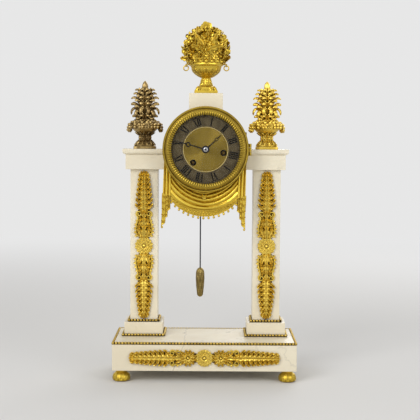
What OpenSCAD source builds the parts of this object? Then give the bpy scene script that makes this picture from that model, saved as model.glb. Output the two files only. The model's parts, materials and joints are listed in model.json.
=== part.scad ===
// Portico clock. A drum clock hangs between two square marble columns on a marble plinth,
// with gilt mounts, a drapery under the dial and a pendulum between the columns.
// Millimetres. Z is up, the dial faces minus Y and the origin is the bottom centre.

/* [Base] */
// Width of the marble plinth
base_width = 253; // [248:1:260]
// Depth of the marble plinth
base_depth = 120; // [118:1:126]
// Height of the marble plinth
base_height = 39; // [36:1:44]
// Height of the bun feet
foot_height = 16; // [14:1:18]
// Radius of the bun feet
foot_radius = 12; // [11:0.5:14]
// Height and thickness of the bead trims
bead_size = 3; // [2.5:0.25:3.5]

/* [Columns] */
// Distance between the column axes
column_spacing = 173; // [170:1:176]
// Distance of the column axes behind the centre plane
column_back = 21; // [19:1:23]
// Width of the block under each shaft
block_width = 54; // [50:1:56]
// Height of the block under each shaft
block_height = 19.5; // [17:0.5:22]
// Width of the square shafts
shaft_width = 38.5; // [37:0.5:40]
// Height of the square shafts
shaft_height = 216; // [206:2:226]

/* [Entablature] */
// Height of the frieze blocks
frieze_height = 21; // [19:1:24]
// Overhang of the frieze past the shaft
frieze_overhang = 6.5; // [5:0.5:8]
// Height of the cornice slabs
cornice_height = 7.5; // [6.5:0.5:9]
// Overhang of the cornice past the frieze
cornice_overhang = 4; // [3:0.5:5]
// Width of the block that carries the vase
top_width = 47; // [44:1:50]
// Rise of the vase block's top above the dial centre
top_rise = 78; // [76:1:82]

/* [Drum] */
// Outer radius of the drum
drum_radius = 55; // [54.5:0.25:56]
// Wall of the drum
drum_wall = 1.5; // [1.2:0.1:2]
// Length of the drum in front of the centre plane
drum_front = 30; // [29:0.5:32]
// Length of the drum behind the centre plane
drum_back = 46; // [46:0.5:48]
// Outer radius of the bezel
bezel_radius = 59.4; // [58.6:0.2:60]
// Turn of the slipped dial and movement, counter-clockwise from upright
dial_turn = 18; // [15:1:20]

/* [Dial] */
// Radius of the gilt dial centre
dial_centre_radius = 30.6; // [29:0.2:31]
// Distance of the winding holes from the dial centre
winding_radius = 25; // [24.6:0.1:25.6]
// Length of the hour hand
hour_hand_length = 30; // [26:1:33]
// Length of the minute hand
minute_hand_length = 43; // [40:1:44]
// Direction of the hour hand, clockwise from upright
hour_hand_angle = 46.6; // [0:0.1:360]
// Direction of the minute hand, clockwise from upright
minute_hand_angle = 286; // [0:1:360]

/* [Pendulum] */
// Length from the suspension to the middle of the bob
pendulum_length = 213; // [205:1:225]
// Height of the olive bob
bob_height = 42; // [40:1:48]
// Radius of the olive bob
bob_radius = 6; // [5.5:0.5:8]
// Radius of the pendulum wire
rod_radius = 0.9; // [0.7:0.1:1.2]

/* [Drapery] */
// Drop of the swag's hem below the dial centre
swag_drop = 93; // [88:1:97]
// Half width of the swag at its hem
swag_half_width = 45; // [43:1:48]
// Drop of the tails below the dial centre
tail_drop = 111; // [104:1:114]

/* [Mounts] */
// Length of the plinth mount
base_mount_length = 207; // [190:1:215]
// Height of the plinth mount
base_mount_height = 26; // [22:1:28]
// Length of the column mounts
column_mount_length = 208; // [196:1:212]
// Width of the column mounts
column_mount_width = 29; // [25:1:31]
// Relief of the mounts
mount_relief = 4; // [3:0.25:5]

/* [Vase and finials] */
// Height of the vase without its flowers
vase_height = 42; // [40:1:46]
// Radius of the vase rim
vase_radius = 24; // [23:0.5:25]
// Height of the flowers
bouquet_height = 59; // [52:1:62]
// Radius of the flowers
bouquet_radius = 32.5; // [30:0.5:34]
// Radius of the hanging rings
ring_radius = 3.4; // [3.2:0.1:3.6]
// Height of the finial bowls
urn_height = 31; // [28:1:34]
// Radius of the finial bowls
urn_radius = 25.5; // [24:0.5:27]
// Height of the finial foliage
foliage_height = 65; // [60:1:68]
// Radius of the finial foliage
foliage_radius = 19.8; // [18:0.2:21]

/* [Hidden] */
$fn = 64;
// Overcut that keeps cutters clear of the faces they pass through
eps = 1;
// Running clearance of pivots and pins
running = 0.06;
// Gap left between still pieces that lie along a curve
seat_gap = 0.2;
// Gap left between pieces that move past each other
moving_gap = 0.4;

// Colours
marble = "#e9e2d2";
ormolu = "#c79a3a";
brass = "#b08d45";
steel = "#6d7075";
blued = "#20242c";
silvered = "#8d8a84";

// Heights of the courses, from the floor up
base_top = foot_height + base_height;
block_top = base_top + block_height;
shaft_top = block_top + shaft_height;
frieze_top = shaft_top + frieze_height;
dial_z = frieze_top + cornice_height;
block_rise = dial_z + top_rise;

// The plinth sits back by half the relief, so that the mount in front keeps the part centred
base_y = mount_relief / 2;
base_front = base_y - base_depth / 2;
foot_x = base_width / 2 - foot_radius;
foot_y = base_depth / 2 - foot_radius - 1;
foot_stud = 2;
stud_gap = 0.1;

// Column and entablature plan
column_x = column_spacing / 2;
frieze_outer = shaft_width / 2 + frieze_overhang;
cornice_outer = frieze_outer + cornice_overhang;
frieze_back = shaft_width / 2 + 3;
frieze_inner = 0.75 * drum_radius;
vase_y = 8;
vase_block_depth = 44;

// Tie bolts
bolt_radius = 2;
bolt_hole = bolt_radius + stud_gap;
bolt_head_radius = 5;
bolt_head = 4;
bolt_pocket = 7;
bolt_grip = 14;

// Depths along the dial axis, counted from the centre plane towards the viewer
flange_front = drum_front - 6;
flange_back = flange_front - 1.5;
flange_inner = 43;
plate_thick = 2;
plate_front = flange_back;
plate_inner = plate_front - plate_thick;
plate_gap = 32;
rear_inner = plate_inner - plate_gap;
rear_face = rear_inner - plate_thick;
plate_radius = 41;
dial_radius = 50.5;
dial_back = drum_front + 0.8;
dial_front = dial_back + 1;
ring_front = dial_front + 1;
hour_hand_at = ring_front + 1.2;
minute_hand_at = hour_hand_at + 1.6;
hand_thick = 0.6;
bezel_back = drum_front + 0.15;
glass_seat = drum_front + 8;
bezel_front = drum_front + 11;
glass_radius = 48.5;
glass_thick = 1.5;
glass_rise = 4;
pendulum_at = rear_face - 12.5;
crutch_at = rear_face - 4.5;
bell_mouth = rear_face - 18;
door_front = -drum_back - 0.2;
door_thick = 2.3;

// Hinges of the bezel and the back door
knuckle_radius = 1.8;
hinge_pin_radius = 0.8;
bezel_hinge_x = bezel_radius + 2;
bezel_hinge_at = drum_front + 0.6;
bezel_knuckle = 6;
hinge_lug = 5;
lug_gap = 0.25;
door_hinge_x = drum_radius + 2.2;
door_hinge_at = door_front - door_thick / 2;
door_hinge_up = 16;

// Tooth counts, which the twelve-to-one hands and the eight-day run fix
barrel_teeth = 80;
barrel_pinion = 12;
inter_teeth = 66;
centre_leaves = 10;
centre_teeth = 84;
third_leaves = 8;
third_teeth = 80;
escape_leaves = 8;
escape_teeth = 37;
cannon_leaves = 12;
minute_teeth = 36;
minute_leaves = 10;
hour_teeth = 40;
pin_teeth = 72;
lock_leaves = 8;
lock_teeth = 64;
fly_leaves = 8;

// Gear modules
barrel_module = 0.5;
inter_module = 0.4;
centre_module = 0.27;
third_module = 0.25;
motion_offset = 10;
cannon_module = 2 * motion_offset / (cannon_leaves + minute_teeth);
hour_module = 2 * motion_offset / (minute_leaves + hour_teeth);

// Tooth form: tip and root depth in modules, and thickness in parts of the pitch
tooth_tip = 0.75;
tooth_root = 1.2;
wheel_form = [0.2, 0.4, 0.5];
leaf_form = [0.12, 0.34, 0.38];

// Arbor places on the plates, right and up from the dial centre before the turn
origin = [0, 0];
winding_angle = 28.5;
going_at = polar(winding_radius, -winding_angle);
strike_at = [-going_at[0], going_at[1]];
barrel_reach = mesh_distance(barrel_teeth, barrel_pinion, barrel_module);
inter_at = meet(origin, mesh_distance(inter_teeth, centre_leaves, inter_module), going_at, barrel_reach);
third_at = polar(mesh_distance(centre_teeth, third_leaves, centre_module), 150);
escape_at = third_at + polar(mesh_distance(third_teeth, escape_leaves, third_module), 50);
pallet_at = [0, 23];
minute_at = [0, motion_offset];
pin_at = strike_at + polar(barrel_reach, 90);
lock_at = pin_at + polar(mesh_distance(pin_teeth, lock_leaves, centre_module), 60);
fly_at = lock_at + polar(mesh_distance(lock_teeth, fly_leaves, third_module), 45);
hammer_at = [-36.5, 5.6];
bell_at = [2.3, -6];
pillars_at = [[10, 35.5], [33, 16], [0, -37], [-28.3, 23.8]];
pallet_row = turned(pallet_at);
swing_clear = 11;

// Depths of the wheels between the plates
barrel_cap_at = rear_inner + 10;
barrel_rim_at = rear_inner + 28;
barrel_rim = 2;
barrel_radius = 19.3;
barrel_wall = 1.2;
inter_wheel_at = rear_inner + 6.5;
centre_wheel_at = rear_inner + 3.5;
third_wheel_at = rear_inner + 0.9;
escape_wheel_at = rear_inner + 13.5;
lock_wheel_at = rear_inner + 19.5;
wheel_thick = 1.3;
pivot_radius = 0.6;
arbor_radius = 0.75;
barrel_arbor = 3;
winding_pivot = 2.2;
winding_square = 3.4;
escape_radius = 7;

// Points and distances
function polar(r, a) = [r * cos(a), r * sin(a)];
function turned(p) = [
    p[0] * cos(dial_turn) - p[1] * sin(dial_turn),
    p[0] * sin(dial_turn) + p[1] * cos(dial_turn)];
function bearing(p, q) = atan2(q[1] - p[1], q[0] - p[0]);
function mesh_distance(a, b, m) = m * (a + b) / 2;
function lerp(a, b, t) = a + (b - a) * t;
// The point at distance rp from p and rq from q, to the right of the line from p to q turned up
function meet(p, rp, q, rq) =
    let (d = norm(q - p), a = (rp * rp - rq * rq + d * d) / (2 * d))
    let (h = sqrt(rp * rp - a * a), u = (q - p) / d)
    p + a * u + h * [-u[1], u[0]];
// Phase of a gear with b teeth that meshes with a gear of a teeth and a known phase
function mesh_phase(p, q, phase, a, b) =
    bearing(p, q) + 180 - (360 / b) * (0.5 - (bearing(p, q) - phase) * a / 360);
function tooth_angle(share, m, r) = share * m * 90 / r;
function gear_points(n, m, phase, form) =
    let (rp = n * m / 2, rt = rp + tooth_tip * m, rr = rp - tooth_root * m, step = 360 / n)
    let (at = tooth_angle(form[0], m, rt), ap = tooth_angle(form[1], m, rp),
        ar = tooth_angle(form[2], m, rr))
    [for (i = [0 : n - 1]) for (k = [[rr, -ar], [rp, -ap], [rt, -at], [rt, at], [rp, ap], [rr, ar]])
        polar(k[0], phase + i * step + k[1])];
// Smooth curve through a list of points
function spline(p, n) =
    [for (i = [0 : len(p) - 2]) for (j = [0 : n - 1]) spline_at(p, i, j / n), p[len(p) - 1]];
function spline_at(p, i, t) =
    let (a = p[max(i - 1, 0)], b = p[i], c = p[i + 1], d = p[min(i + 2, len(p) - 1)])
    0.5 * (2 * b + (c - a) * t + (2 * a - 5 * b + 4 * c - d) * t * t + (3 * b - a - 3 * c + d) * t * t * t);

// Places on the clock
module facing() translate([0, 0, dial_z]) rotate([90, 0, 0]) children();
module movement() facing() rotate([0, 0, dial_turn]) children();
module at_columns() for (side = [-1, 1]) translate([side * column_x, column_back, 0]) children();
module on_right(right) mirror([right ? 0 : 1, 0, 0]) children();
module box(w, d, h) translate([-w / 2, -d / 2, 0]) cube([w, d, h]);
module rod(r, from, to) translate([0, 0, from]) cylinder(h = to - from, r = r);
module rod_at(p, r, from, to) translate([p[0], p[1], 0]) rod(r, from, to);
module tube(outer, inner, from, to) difference() {
    rod(outer, from, to);
    rod(inner, from - eps, to + eps);
}
module frame(inner, outer, h) linear_extrude(h) difference() {
    square(outer, center = true);
    square(inner, center = true);
}

// A closed mesh from rows of points: each row is a ring that runs the same way round
module rings(rows) {
    n = len(rows[0]);
    last = (len(rows) - 1) * n;
    walls = [for (k = [0 : len(rows) - 2]) for (j = [0 : n - 1])
        let (a = k * n + j, b = k * n + (j + 1) % n)
        each [[a, a + n, b], [b, a + n, b + n]]];
    caps = [[for (j = [0 : n - 1]) j], [for (j = [n - 1 : -1 : 0]) last + j]];
    polyhedron(points = [for (row = rows) each row], faces = concat(walls, caps), convexity = 8);
}
// A turned form whose radius waves round the axis: each row is radius, height, wave depth, wave phase
module lobed(rows, lobes, steps) rings([for (row = rows) [for (j = [0 : steps - 1])
    let (a = 360 * j / steps, r = row[0] * (1 - row[2] * (1 - cos(lobes * a + row[3])) / 2))
    [r * cos(a), r * sin(a), row[1]]]]);
// A relief on a flat back: half width and height come from the two functions of the named pattern
module relief(length, rows, cols, pattern) rings([for (i = [0 : rows])
    let (t = 2 * i / rows - 1, w = mount_half(pattern, t))
    concat(
        [for (j = [0 : cols]) let (s = 2 * j / cols - 1)
            [s * w, t * length / 2, mount_rise(pattern, t, s)]],
        [[w, t * length / 2, 0], [-w, t * length / 2, 0]])]);

// Outline and relief of the mounts: t runs along the mount and s across it, both from -1 to 1
mount_leaves = 6;
mount_end = 0.3;
function mount_size(pattern) = pattern == "base"
    ? [base_mount_height, base_mount_length]
    : [column_mount_width, column_mount_length];
function rosette_share(pattern, t) =
    let (size = mount_size(pattern), d = abs(t) * size[1] / size[0]) d < 1 ? sqrt(1 - d * d) : 0;
function mount_half(pattern, t) =
    let (size = mount_size(pattern), leaf = 0.62 + 0.3 * abs(cos(180 * mount_leaves * t)))
    let (taper = lerp(0.95, 0.62, abs(t)), tip = min(1, mount_end + (1 - abs(t)) * mount_leaves * 2))
    size[0] / 2 * max(rosette_share(pattern, t), leaf * taper * tip);
function mount_rise(pattern, t, s) =
    let (boss = rosette_share(pattern, 2 * t), vein = 0.75 + 0.25 * cos(360 * mount_leaves * t))
    mount_relief * max(0.25 + 0.35 * (1 - s * s) * vein, boss * (1 - s * s));

// Marble
module base_plinth() color(marble) difference() {
    translate([0, base_y, foot_height]) box(base_width, base_depth, base_height);
    translate([0, base_y, base_top - bead_size])
        frame([base_width - 2 * bead_size, base_depth - 2 * bead_size],
            [base_width + eps, base_depth + eps], bead_size + eps);
    at_columns() rod(bolt_hole, foot_height - eps, base_top + eps);
    at_columns() rod(bolt_head_radius + eps, foot_height - eps, foot_height + bolt_pocket);
    at_feet() rod(foot_stud + stud_gap, foot_height - eps, foot_height + 2 * bolt_pocket);
}
module column_block(right) color(marble) difference() {
    translate([(right ? 1 : -1) * column_x, column_back, base_top])
        box(block_width, block_width, block_height);
    at_columns() rod(bolt_hole, base_top - eps, block_top + eps);
}
module left_column_block() column_block(false);
module right_column_block() column_block(true);
module column_shaft(right) color(marble) difference() {
    translate([(right ? 1 : -1) * column_x, column_back, block_top])
        box(shaft_width, shaft_width, shaft_height);
    at_columns() rod(bolt_hole, block_top - eps, shaft_top + eps);
}
module left_column_shaft() column_shaft(false);
module right_column_shaft() column_shaft(true);
module drum_cut() facing() rod(drum_radius + seat_gap, -base_depth, base_depth);
module frieze(right) color(marble) on_right(right) difference() {
    translate([frieze_inner, column_back - frieze_outer, shaft_top])
        cube([column_x + frieze_outer - frieze_inner, frieze_outer + frieze_back, frieze_height]);
    drum_cut();
    at_columns() rod(bolt_hole, shaft_top - eps, frieze_top + eps);
    drum_screws_at() rod(screw_radius + stud_gap, -eps, screw_length + eps);
}
module left_frieze() frieze(false);
module right_frieze() frieze(true);
// The cornice is where two moulded lengths cross, so that its corner is mitred
module cornice(right) color(marble) on_right(right) difference() {
    intersection() {
        translate([frieze_inner, column_back, frieze_top]) rotate([90, 0, 90])
            linear_extrude(column_x + cornice_outer - frieze_inner) cornice_profile(frieze_back);
        translate([column_x, column_back + frieze_back, frieze_top]) rotate([90, 0, 0]) mirror([1, 0, 0])
            linear_extrude(cornice_outer + frieze_back) cornice_profile(column_x - frieze_inner);
    }
    drum_cut();
    at_columns() rod(bolt_hole, frieze_top - eps, dial_z + eps);
}
// Section of the cornice: the moulded edge is on the left, the plain edge on the right
module cornice_profile(plain) {
    fillet = cornice_overhang;
    translate([-frieze_outer, 0]) square([frieze_outer + plain, cornice_height]);
    translate([-cornice_outer, fillet]) square([cornice_outer + plain, cornice_height - fillet]);
    translate([-frieze_outer, fillet]) circle(fillet);
}
module left_cornice() cornice(false);
module right_cornice() cornice(true);
module vase_block() color(marble) difference() {
    translate([0, vase_y, dial_z + drum_radius - top_width / 4])
        box(top_width, vase_block_depth, top_rise - drum_radius + top_width / 4);
    drum_cut();
    translate([0, vase_y, dial_z]) rod(bolt_hole, 0, top_rise + eps);
}

// Feet and bead trims
module at_feet() for (x = [-1, 1]) for (y = [-1, 1]) translate([x * foot_x, base_y + y * foot_y, 0])
    children();
module feet() color(ormolu) at_feet() {
    rotate_extrude() polygon(concat([[0, 0]], spline(foot_profile(), 5), [[0, foot_height]]));
    rod(foot_stud, foot_height - eps, foot_height + bolt_pocket);
}
function foot_profile() = [for (p = [
    [0.74, 0], [0.95, 0.1], [1, 0.32], [0.92, 0.55], [0.7, 0.75], [0.6, 0.84], [0.68, 0.9], [0.68, 1]])
    [p[0] * foot_radius, p[1] * foot_height]];
module base_bead_trim() color(ormolu) translate([0, base_y, base_top - bead_size])
    frame([base_width - 2 * bead_size, base_depth - 2 * bead_size], [base_width, base_depth], bead_size);
module column_bead_trims() color(ormolu) at_columns() {
    translate([0, 0, base_top]) frame(block_width, block_width + 2 * bead_size, bead_size);
    translate([0, 0, block_top]) frame(shaft_width, shaft_width + 2 * bead_size, bead_size);
}

// Gilt mounts
module base_mount() color(ormolu) translate([0, base_front, foot_height + 0.47 * base_height])
    rotate([90, 0, 0]) rotate([0, 0, 90]) relief(base_mount_length, 72, 6, "base");
module column_mount(right) color(ormolu)
    translate([(right ? 1 : -1) * column_x, column_back - shaft_width / 2, block_top + shaft_height / 2])
    rotate([90, 0, 0]) relief(column_mount_length, 72, 6, "column");
module left_column_mount() column_mount(false);
module right_column_mount() column_mount(true);

// Drapery: the swag hangs from the drum, and its folds follow the hem
swag_back = drum_front - 7;
swag_seat = drum_radius + seat_gap;
swag_edge = 3;
swag_bulge = 2.4;
swag_fold = 9.5;
swag_corner_drop = 71;
swag_shoulder = swag_half_width + 0.8;
swag_sag = swag_drop - swag_corner_drop;
hem_radius = (swag_half_width * swag_half_width + swag_sag * swag_sag) / (2 * swag_sag);
function swag_rise(r) = swag_edge + swag_bulge * (1 + cos(360 * (hem_radius - r) / swag_fold)) / 2;
module swag_outline() difference() {
    sides = [[swag_shoulder, 0], [swag_half_width, -swag_corner_drop], [swag_half_width, -swag_drop - eps]];
    intersection() {
        translate([0, hem_radius - swag_drop]) circle(hem_radius);
        polygon(concat(sides, [for (i = [2 : -1 : 0]) [-sides[i][0], sides[i][1]]]));
    }
    circle(swag_seat);
}
module drapery_swag() color(ormolu) facing() translate([0, 0, swag_back]) intersection() {
    steps = 48;
    reach = hem_radius + eps;
    linear_extrude(swag_edge + swag_bulge + eps) swag_outline();
    translate([0, hem_radius - swag_drop, 0]) rotate_extrude()
        polygon(concat([[0, 0], [reach, 0]],
            [for (i = [0 : steps]) let (r = reach * (1 - i / steps)) [r, swag_rise(r)]]));
}
// The tails hang in pleats beside the swag, and their hems step down to the outer edge
tail_top_drop = 25;
tail_gap = 0.4;
tail_inner = swag_shoulder + tail_gap;
tail_width = 11.4;
tail_tip = 3;
tail_steps = 3;
tail_step = 8;
tail_outer = tail_inner + tail_width;
module tail_outline() difference() {
    run = (tail_width - tail_tip) / tail_steps;
    polygon(concat(
        [[tail_inner, 0], [tail_outer, 0], [tail_outer, -tail_drop]],
        [for (k = [0 : tail_steps - 1])
            let (x = tail_outer - tail_tip - k * run, y = k * tail_step - tail_drop)
            each [[x, y], [x, y + 0.75 * tail_step]]],
        [[tail_inner, tail_steps * tail_step - tail_drop]]));
    circle(swag_seat);
    translate([0, -tail_top_drop]) square([2 * tail_outer, 2 * tail_top_drop]);
}
module tail_pleats() {
    pitch = tail_width / tail_steps;
    pleat = 0.55 * pitch;
    translate([tail_inner, 0]) square([tail_width, swag_edge]);
    for (k = [0 : tail_steps - 1]) translate([tail_inner + (k + 0.5) * pitch, swag_edge - 0.6])
        circle(pleat);
}
module drapery_tails() color(ormolu) facing() for (side = [0, 1]) mirror([side, 0, 0])
    translate([0, 0, swag_back])
    intersection() {
        linear_extrude(2 * swag_edge) tail_outline();
        rotate([90, 0, 0]) linear_extrude(tail_drop + eps) tail_pleats();
    }

// Vase with flowers and hanging rings
ring_wire = 0.8;
ear_out = vase_radius + 4.4;
ear_radius = 1.9;
ear_thick = 1.6;
ear_up = vase_height - 3;
vase_plate = 8.5;
vase_foot_width = 32.7;
module vase() color(ormolu) translate([0, vase_y, block_rise]) difference() {
    union() {
        linear_extrude(0.45 * vase_plate) square(vase_foot_width, center = true);
        linear_extrude(vase_plate) rotate(22.5) circle(0.47 * vase_foot_width, $fn = 8);
        rotate_extrude() polygon(concat([[0, 0]], spline(vase_profile(), 6), [[0, vase_height]]));
        for (side = [-1, 1]) translate([side * ear_out, 0, ear_up]) {
            rotate([0, 90, 0]) rod(ear_radius, -ear_thick / 2, ear_thick / 2);
            translate([side * -vase_radius / 3, 0, ear_radius - ear_thick / 2])
                box(vase_radius * 2 / 3 + ear_thick, ear_thick, ear_thick);
        }
    }
    for (side = [-1, 1]) translate([side * ear_out, 0, ear_up])
        rotate([0, 90, 0]) rod(ring_wire + moving_gap / 2, -ear_thick, ear_thick);
    rod(bolt_hole, -eps, bolt_grip + eps);
}
function vase_profile() = [
    [12.5, 0], [12.5, vase_plate], [9, vase_plate + 2.5], [6.8, 0.45 * vase_height], [7.2, 0.52 * vase_height],
    [12.5, 0.6 * vase_height], [18.2, 0.72 * vase_height], [20.8, 0.84 * vase_height],
    [vase_radius - 2, 0.9 * vase_height], [vase_radius, 0.94 * vase_height], [vase_radius, vase_height]];
// Tiers of out-curling leaves on a stem: count, stem radius, height, widest radius, height share of the widest
function leafy(tiers, stem, height, wide, crest) = concat(
    [for (i = [0 : tiers - 1])
        let (p = height / tiers, z = i * p, c = (i + 0.6) / tiers,
            r = wide * (1 - pow((c - crest) / (1.25 - crest), 2)))
        each [[stem, z, 0, 0], [r, z + 0.5 * p, 0.62, 180 * (i % 2)],
            [0.93 * r, z + 0.78 * p, 0.62, 180 * (i % 2)]]],
    [[stem, height, 0, 0]]);
module vase_bouquet() color(ormolu) translate([0, vase_y, block_rise + vase_height]) {
    top = 0.86 * bouquet_height;
    lobed(concat(leafy(6, 0.4 * bouquet_radius, top, bouquet_radius, 0.4),
        bud(0.3 * bouquet_radius, top, bouquet_height)), 9, 45);
}
function bud(r, from, to)
    = [for (k = [1 : 5]) let (a = 18 * k) [max(r * cos(a), 0.2), lerp(from, to, sin(a)), 0, 0]];
module vase_ring(right) color(ormolu) on_right(right)
    translate([ear_out, vase_y, block_rise + ear_up - ring_radius]) rotate([90, 0, 0])
    rotate_extrude() translate([ring_radius, 0]) circle(ring_wire);
module left_vase_ring() vase_ring(false);
module right_vase_ring() vase_ring(true);

// Finials on the cornices
module finial(right) color(ormolu) translate([(right ? 1 : -1) * column_x, column_back, dial_z]) {
    plate = 32.7;
    paw = 5;
    difference() {
        union() {
            for (x = [-1, 1]) for (y = [-1, 1]) translate([x * (plate - paw) / 2, y * (plate - paw) / 2, 0])
                box(paw, paw, paw);
            translate([0, 0, paw - 1]) box(plate, plate, 3);
            rotate_extrude() polygon(concat([[0, 0]], spline(urn_profile(), 6), [[0, urn_height]]));
        }
        rod(bolt_hole, -eps, bolt_grip + eps);
    }
    translate([0, 0, urn_height]) {
        top = 0.84 * foliage_height;
        lobed(concat(leafy(6, 0.4 * foliage_radius, top, foliage_radius, 0.5),
            bud(0.4 * foliage_radius, top, foliage_height)), 8, 40);
    }
}
function urn_profile() = [
    [10, 0], [10, 0.24 * urn_height], [7.5, 0.42 * urn_height], [9, 0.56 * urn_height],
        [17, 0.7 * urn_height],
    [23, 0.86 * urn_height], [urn_radius, 0.97 * urn_height], [urn_radius - 1.5, urn_height]];
module left_finial() finial(false);
module right_finial() finial(true);

// Fasteners
screw_radius = 1.6;
screw_length = 18;
screw_head = 3;
screw_drop = 14;
// The heads bear on the curved wall at their lower edge
screw_seat = sqrt(pow(drum_radius - drum_wall, 2) - pow(screw_drop + screw_head, 2)) - seat_gap / 2;
module drum_screws_at() for (y = [6, 34])
    translate([screw_seat, y, dial_z - screw_drop]) rotate([0, 90, 0]) children();
module tie_bolts() color(steel) {
    at_columns() tie_bolt(foot_height + bolt_pocket, dial_z + bolt_grip);
    translate([0, vase_y, 0]) tie_bolt(dial_z + drum_radius - drum_wall - seat_gap, block_rise + bolt_grip);
}
module tie_bolt(seat, top) {
    rod(bolt_radius, seat - bolt_head, top);
    translate([0, 0, seat - bolt_head]) cylinder(h = bolt_head, r = bolt_head_radius, $fn = 6);
}
module drum_fasteners() color(steel) {
    for (side = [0, 1]) mirror([side, 0, 0]) drum_screws_at() {
        rod(screw_radius, -eps, screw_length);
        rod(screw_head, -2, 0);
    }
    facing() hinge_axis(bezel_hinge_x, bezel_hinge_at)
        rod(hinge_pin_radius, -hinge_span() / 2, hinge_span() / 2);
    facing() translate([0, door_hinge_up, 0]) hinge_axis(door_hinge_x, door_hinge_at)
        rod(hinge_pin_radius, -hinge_span() / 2, hinge_span() / 2);
}

// Drum and its doors
function hinge_span() = bezel_knuckle + 2 * lug_gap + 2 * hinge_lug;
module hinge_axis(x, at) translate([x, 0, at]) rotate([-90, 0, 0]) children();
// One knuckle of a hinge and the arm that carries it, both centred on a height
module knuckle(x, at, up, length, inner, arm_from, arm_to) {
    translate([0, up, 0]) difference() {
        union() {
            hinge_axis(x, at) rod(knuckle_radius, -length / 2, length / 2);
            translate([inner, -length / 2, arm_from]) cube([x - inner, length, arm_to - arm_from]);
        }
        hinge_axis(x, at) rod(hinge_pin_radius + running, -length, length);
    }
}
module drum_case() color(ormolu) facing() {
    lug_up = (bezel_knuckle + hinge_lug) / 2 + lug_gap;
    difference() {
        union() {
            tube(drum_radius, drum_radius - drum_wall, -drum_back, drum_front);
            tube(drum_radius - drum_wall / 2, flange_inner, flange_back, flange_front);
        }
        rotate([90, 0, 0]) translate([pallet_row[0], pendulum_at, 0]) linear_extrude(2 * drum_radius)
            square([2 * swing_clear, 9], center = true);
        rotate([-90, 0, 0]) translate([0, vase_y, 0]) rod(bolt_hole, 0, 2 * drum_radius);
        rotate([-90, 0, 0]) translate([0, 0, -dial_z]) for (side = [0, 1]) mirror([side, 0, 0])
            drum_screws_at() rod(screw_radius + stud_gap, -screw_head, screw_length);
    }
    for (up = [-lug_up, lug_up])
        knuckle(bezel_hinge_x, bezel_hinge_at, up, hinge_lug, drum_radius - drum_wall / 2 - 0.4,
            drum_front - 3, drum_front - 0.4);
    for (up = [door_hinge_up - lug_up, door_hinge_up + lug_up])
        knuckle(door_hinge_x, door_hinge_at, up, hinge_lug,
            sqrt(drum_radius * drum_radius - pow(up + hinge_lug / 2, 2)) - 0.6,
            -drum_back + 0.3, -drum_back + 3);
}
module bezel() color(ormolu) facing() {
    sight = 46.9;
    skirt = dial_radius + 0.9;
    rebate = glass_radius + 0.1;
    band = 3;
    band_r = glass_radius + band + 0.3;
    rotate_extrude() {
        polygon([
            [skirt, bezel_back], [bezel_radius - 1, bezel_back], [bezel_radius, bezel_back + 1.2],
            [bezel_radius, drum_front + 5], [bezel_radius - 1.4, drum_front + 6.6],
            [bezel_radius - 2.6, drum_front + 6.4], [bezel_radius - 3.2, drum_front + 5.4],
            [band_r + 2, drum_front + 7],
            [rebate, drum_front + 9.6], [rebate, glass_seat - 0.1], [rebate - 0.9, glass_seat - 0.1],
            [sight, ring_front + 1.2], [sight, ring_front + 0.5], [skirt, ring_front + 0.5]]);
        translate([band_r, bezel_front - band]) circle(band);
    }
    knuckle(bezel_hinge_x, bezel_hinge_at, 0, bezel_knuckle, bezel_radius - 1.5, bezel_back,
        bezel_back + 2);
}
module dial_glass() color("#cfe0e2", 0.3) facing() rotate_extrude() {
    bow = (glass_radius * glass_radius + glass_rise * glass_rise) / (2 * glass_rise);
    intersection() {
        translate([0, glass_seat + glass_thick + glass_rise - bow]) difference() {
            circle(bow, $fn = 256);
            circle(bow - glass_thick, $fn = 256);
        }
        translate([0, glass_seat]) square([glass_radius, 2 * glass_rise]);
    }
}
module back_door() color(ormolu) facing() {
    lip = 1.2;
    knob = 3;
    rod(drum_radius - lip, door_front - door_thick, door_front);
    rod(drum_radius - 5 * lip, door_front - door_thick - lip, door_front - door_thick);
    translate([-drum_radius + 8 * lip, 0, 0])
        rod(knob, door_front - door_thick - 2 * knob, door_front - door_thick);
    knuckle(door_hinge_x, door_hinge_at, door_hinge_up, bezel_knuckle, drum_radius * 0.85,
        door_front - door_thick, door_front);
}

// Dial and hands
winding_hole = 3;
module dial_plate() color(ormolu) movement() {
    foot = 2;
    rim = 1.4;
    difference() {
        union() {
            rod(dial_radius, dial_back, dial_front);
            rod(dial_centre_radius, dial_front - 0.1, ring_front - 0.2);
            tube(dial_centre_radius, dial_centre_radius - rim, dial_front, ring_front + 0.5);
            for (a = [30, 150, 270]) rod_at(polar(38, a), foot, plate_front, dial_back + 0.1);
        }
        rod(barrel_arbor + 0.6, dial_back - eps, ring_front + eps);
        for (p = [going_at, strike_at]) rod_at(p, winding_hole, dial_back - eps, ring_front + eps);
    }
}
module chapter_ring() color(silvered) facing()
    tube(dial_radius - 0.5, dial_centre_radius + seat_gap, dial_front, ring_front);
// A pierced hand: hub, tapering blade, ring near the tip and point
module hand(length, hub, bore, ring_at, ring) linear_extrude(hand_thick) difference() {
    union() {
        circle(hub);
        polygon([[-0.9, 0], [0.9, 0], [0.55, ring_at], [-0.55, ring_at]]);
        translate([0, ring_at]) circle(ring);
        polygon([[-1, ring_at], [1, ring_at], [0.12, length], [-0.12, length]]);
    }
    circle(bore);
    translate([0, ring_at]) circle(ring - 0.8);
}
module hour_hand() color(blued) facing() translate([0, 0, hour_hand_at]) rotate(-hour_hand_angle)
    hand(hour_hand_length, 4.2, hour_pipe, 0.68 * hour_hand_length, 2.4);
module minute_hand() color(blued) facing() rotate(-minute_hand_angle) {
    translate([0, 0, minute_hand_at])
        hand(minute_hand_length, 3, cannon_pipe, 0.58 * minute_hand_length, 3);
    tube(2.6, arbor_front + 0.02, minute_hand_at + hand_thick, minute_hand_at + hand_thick + 0.8);
}

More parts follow.
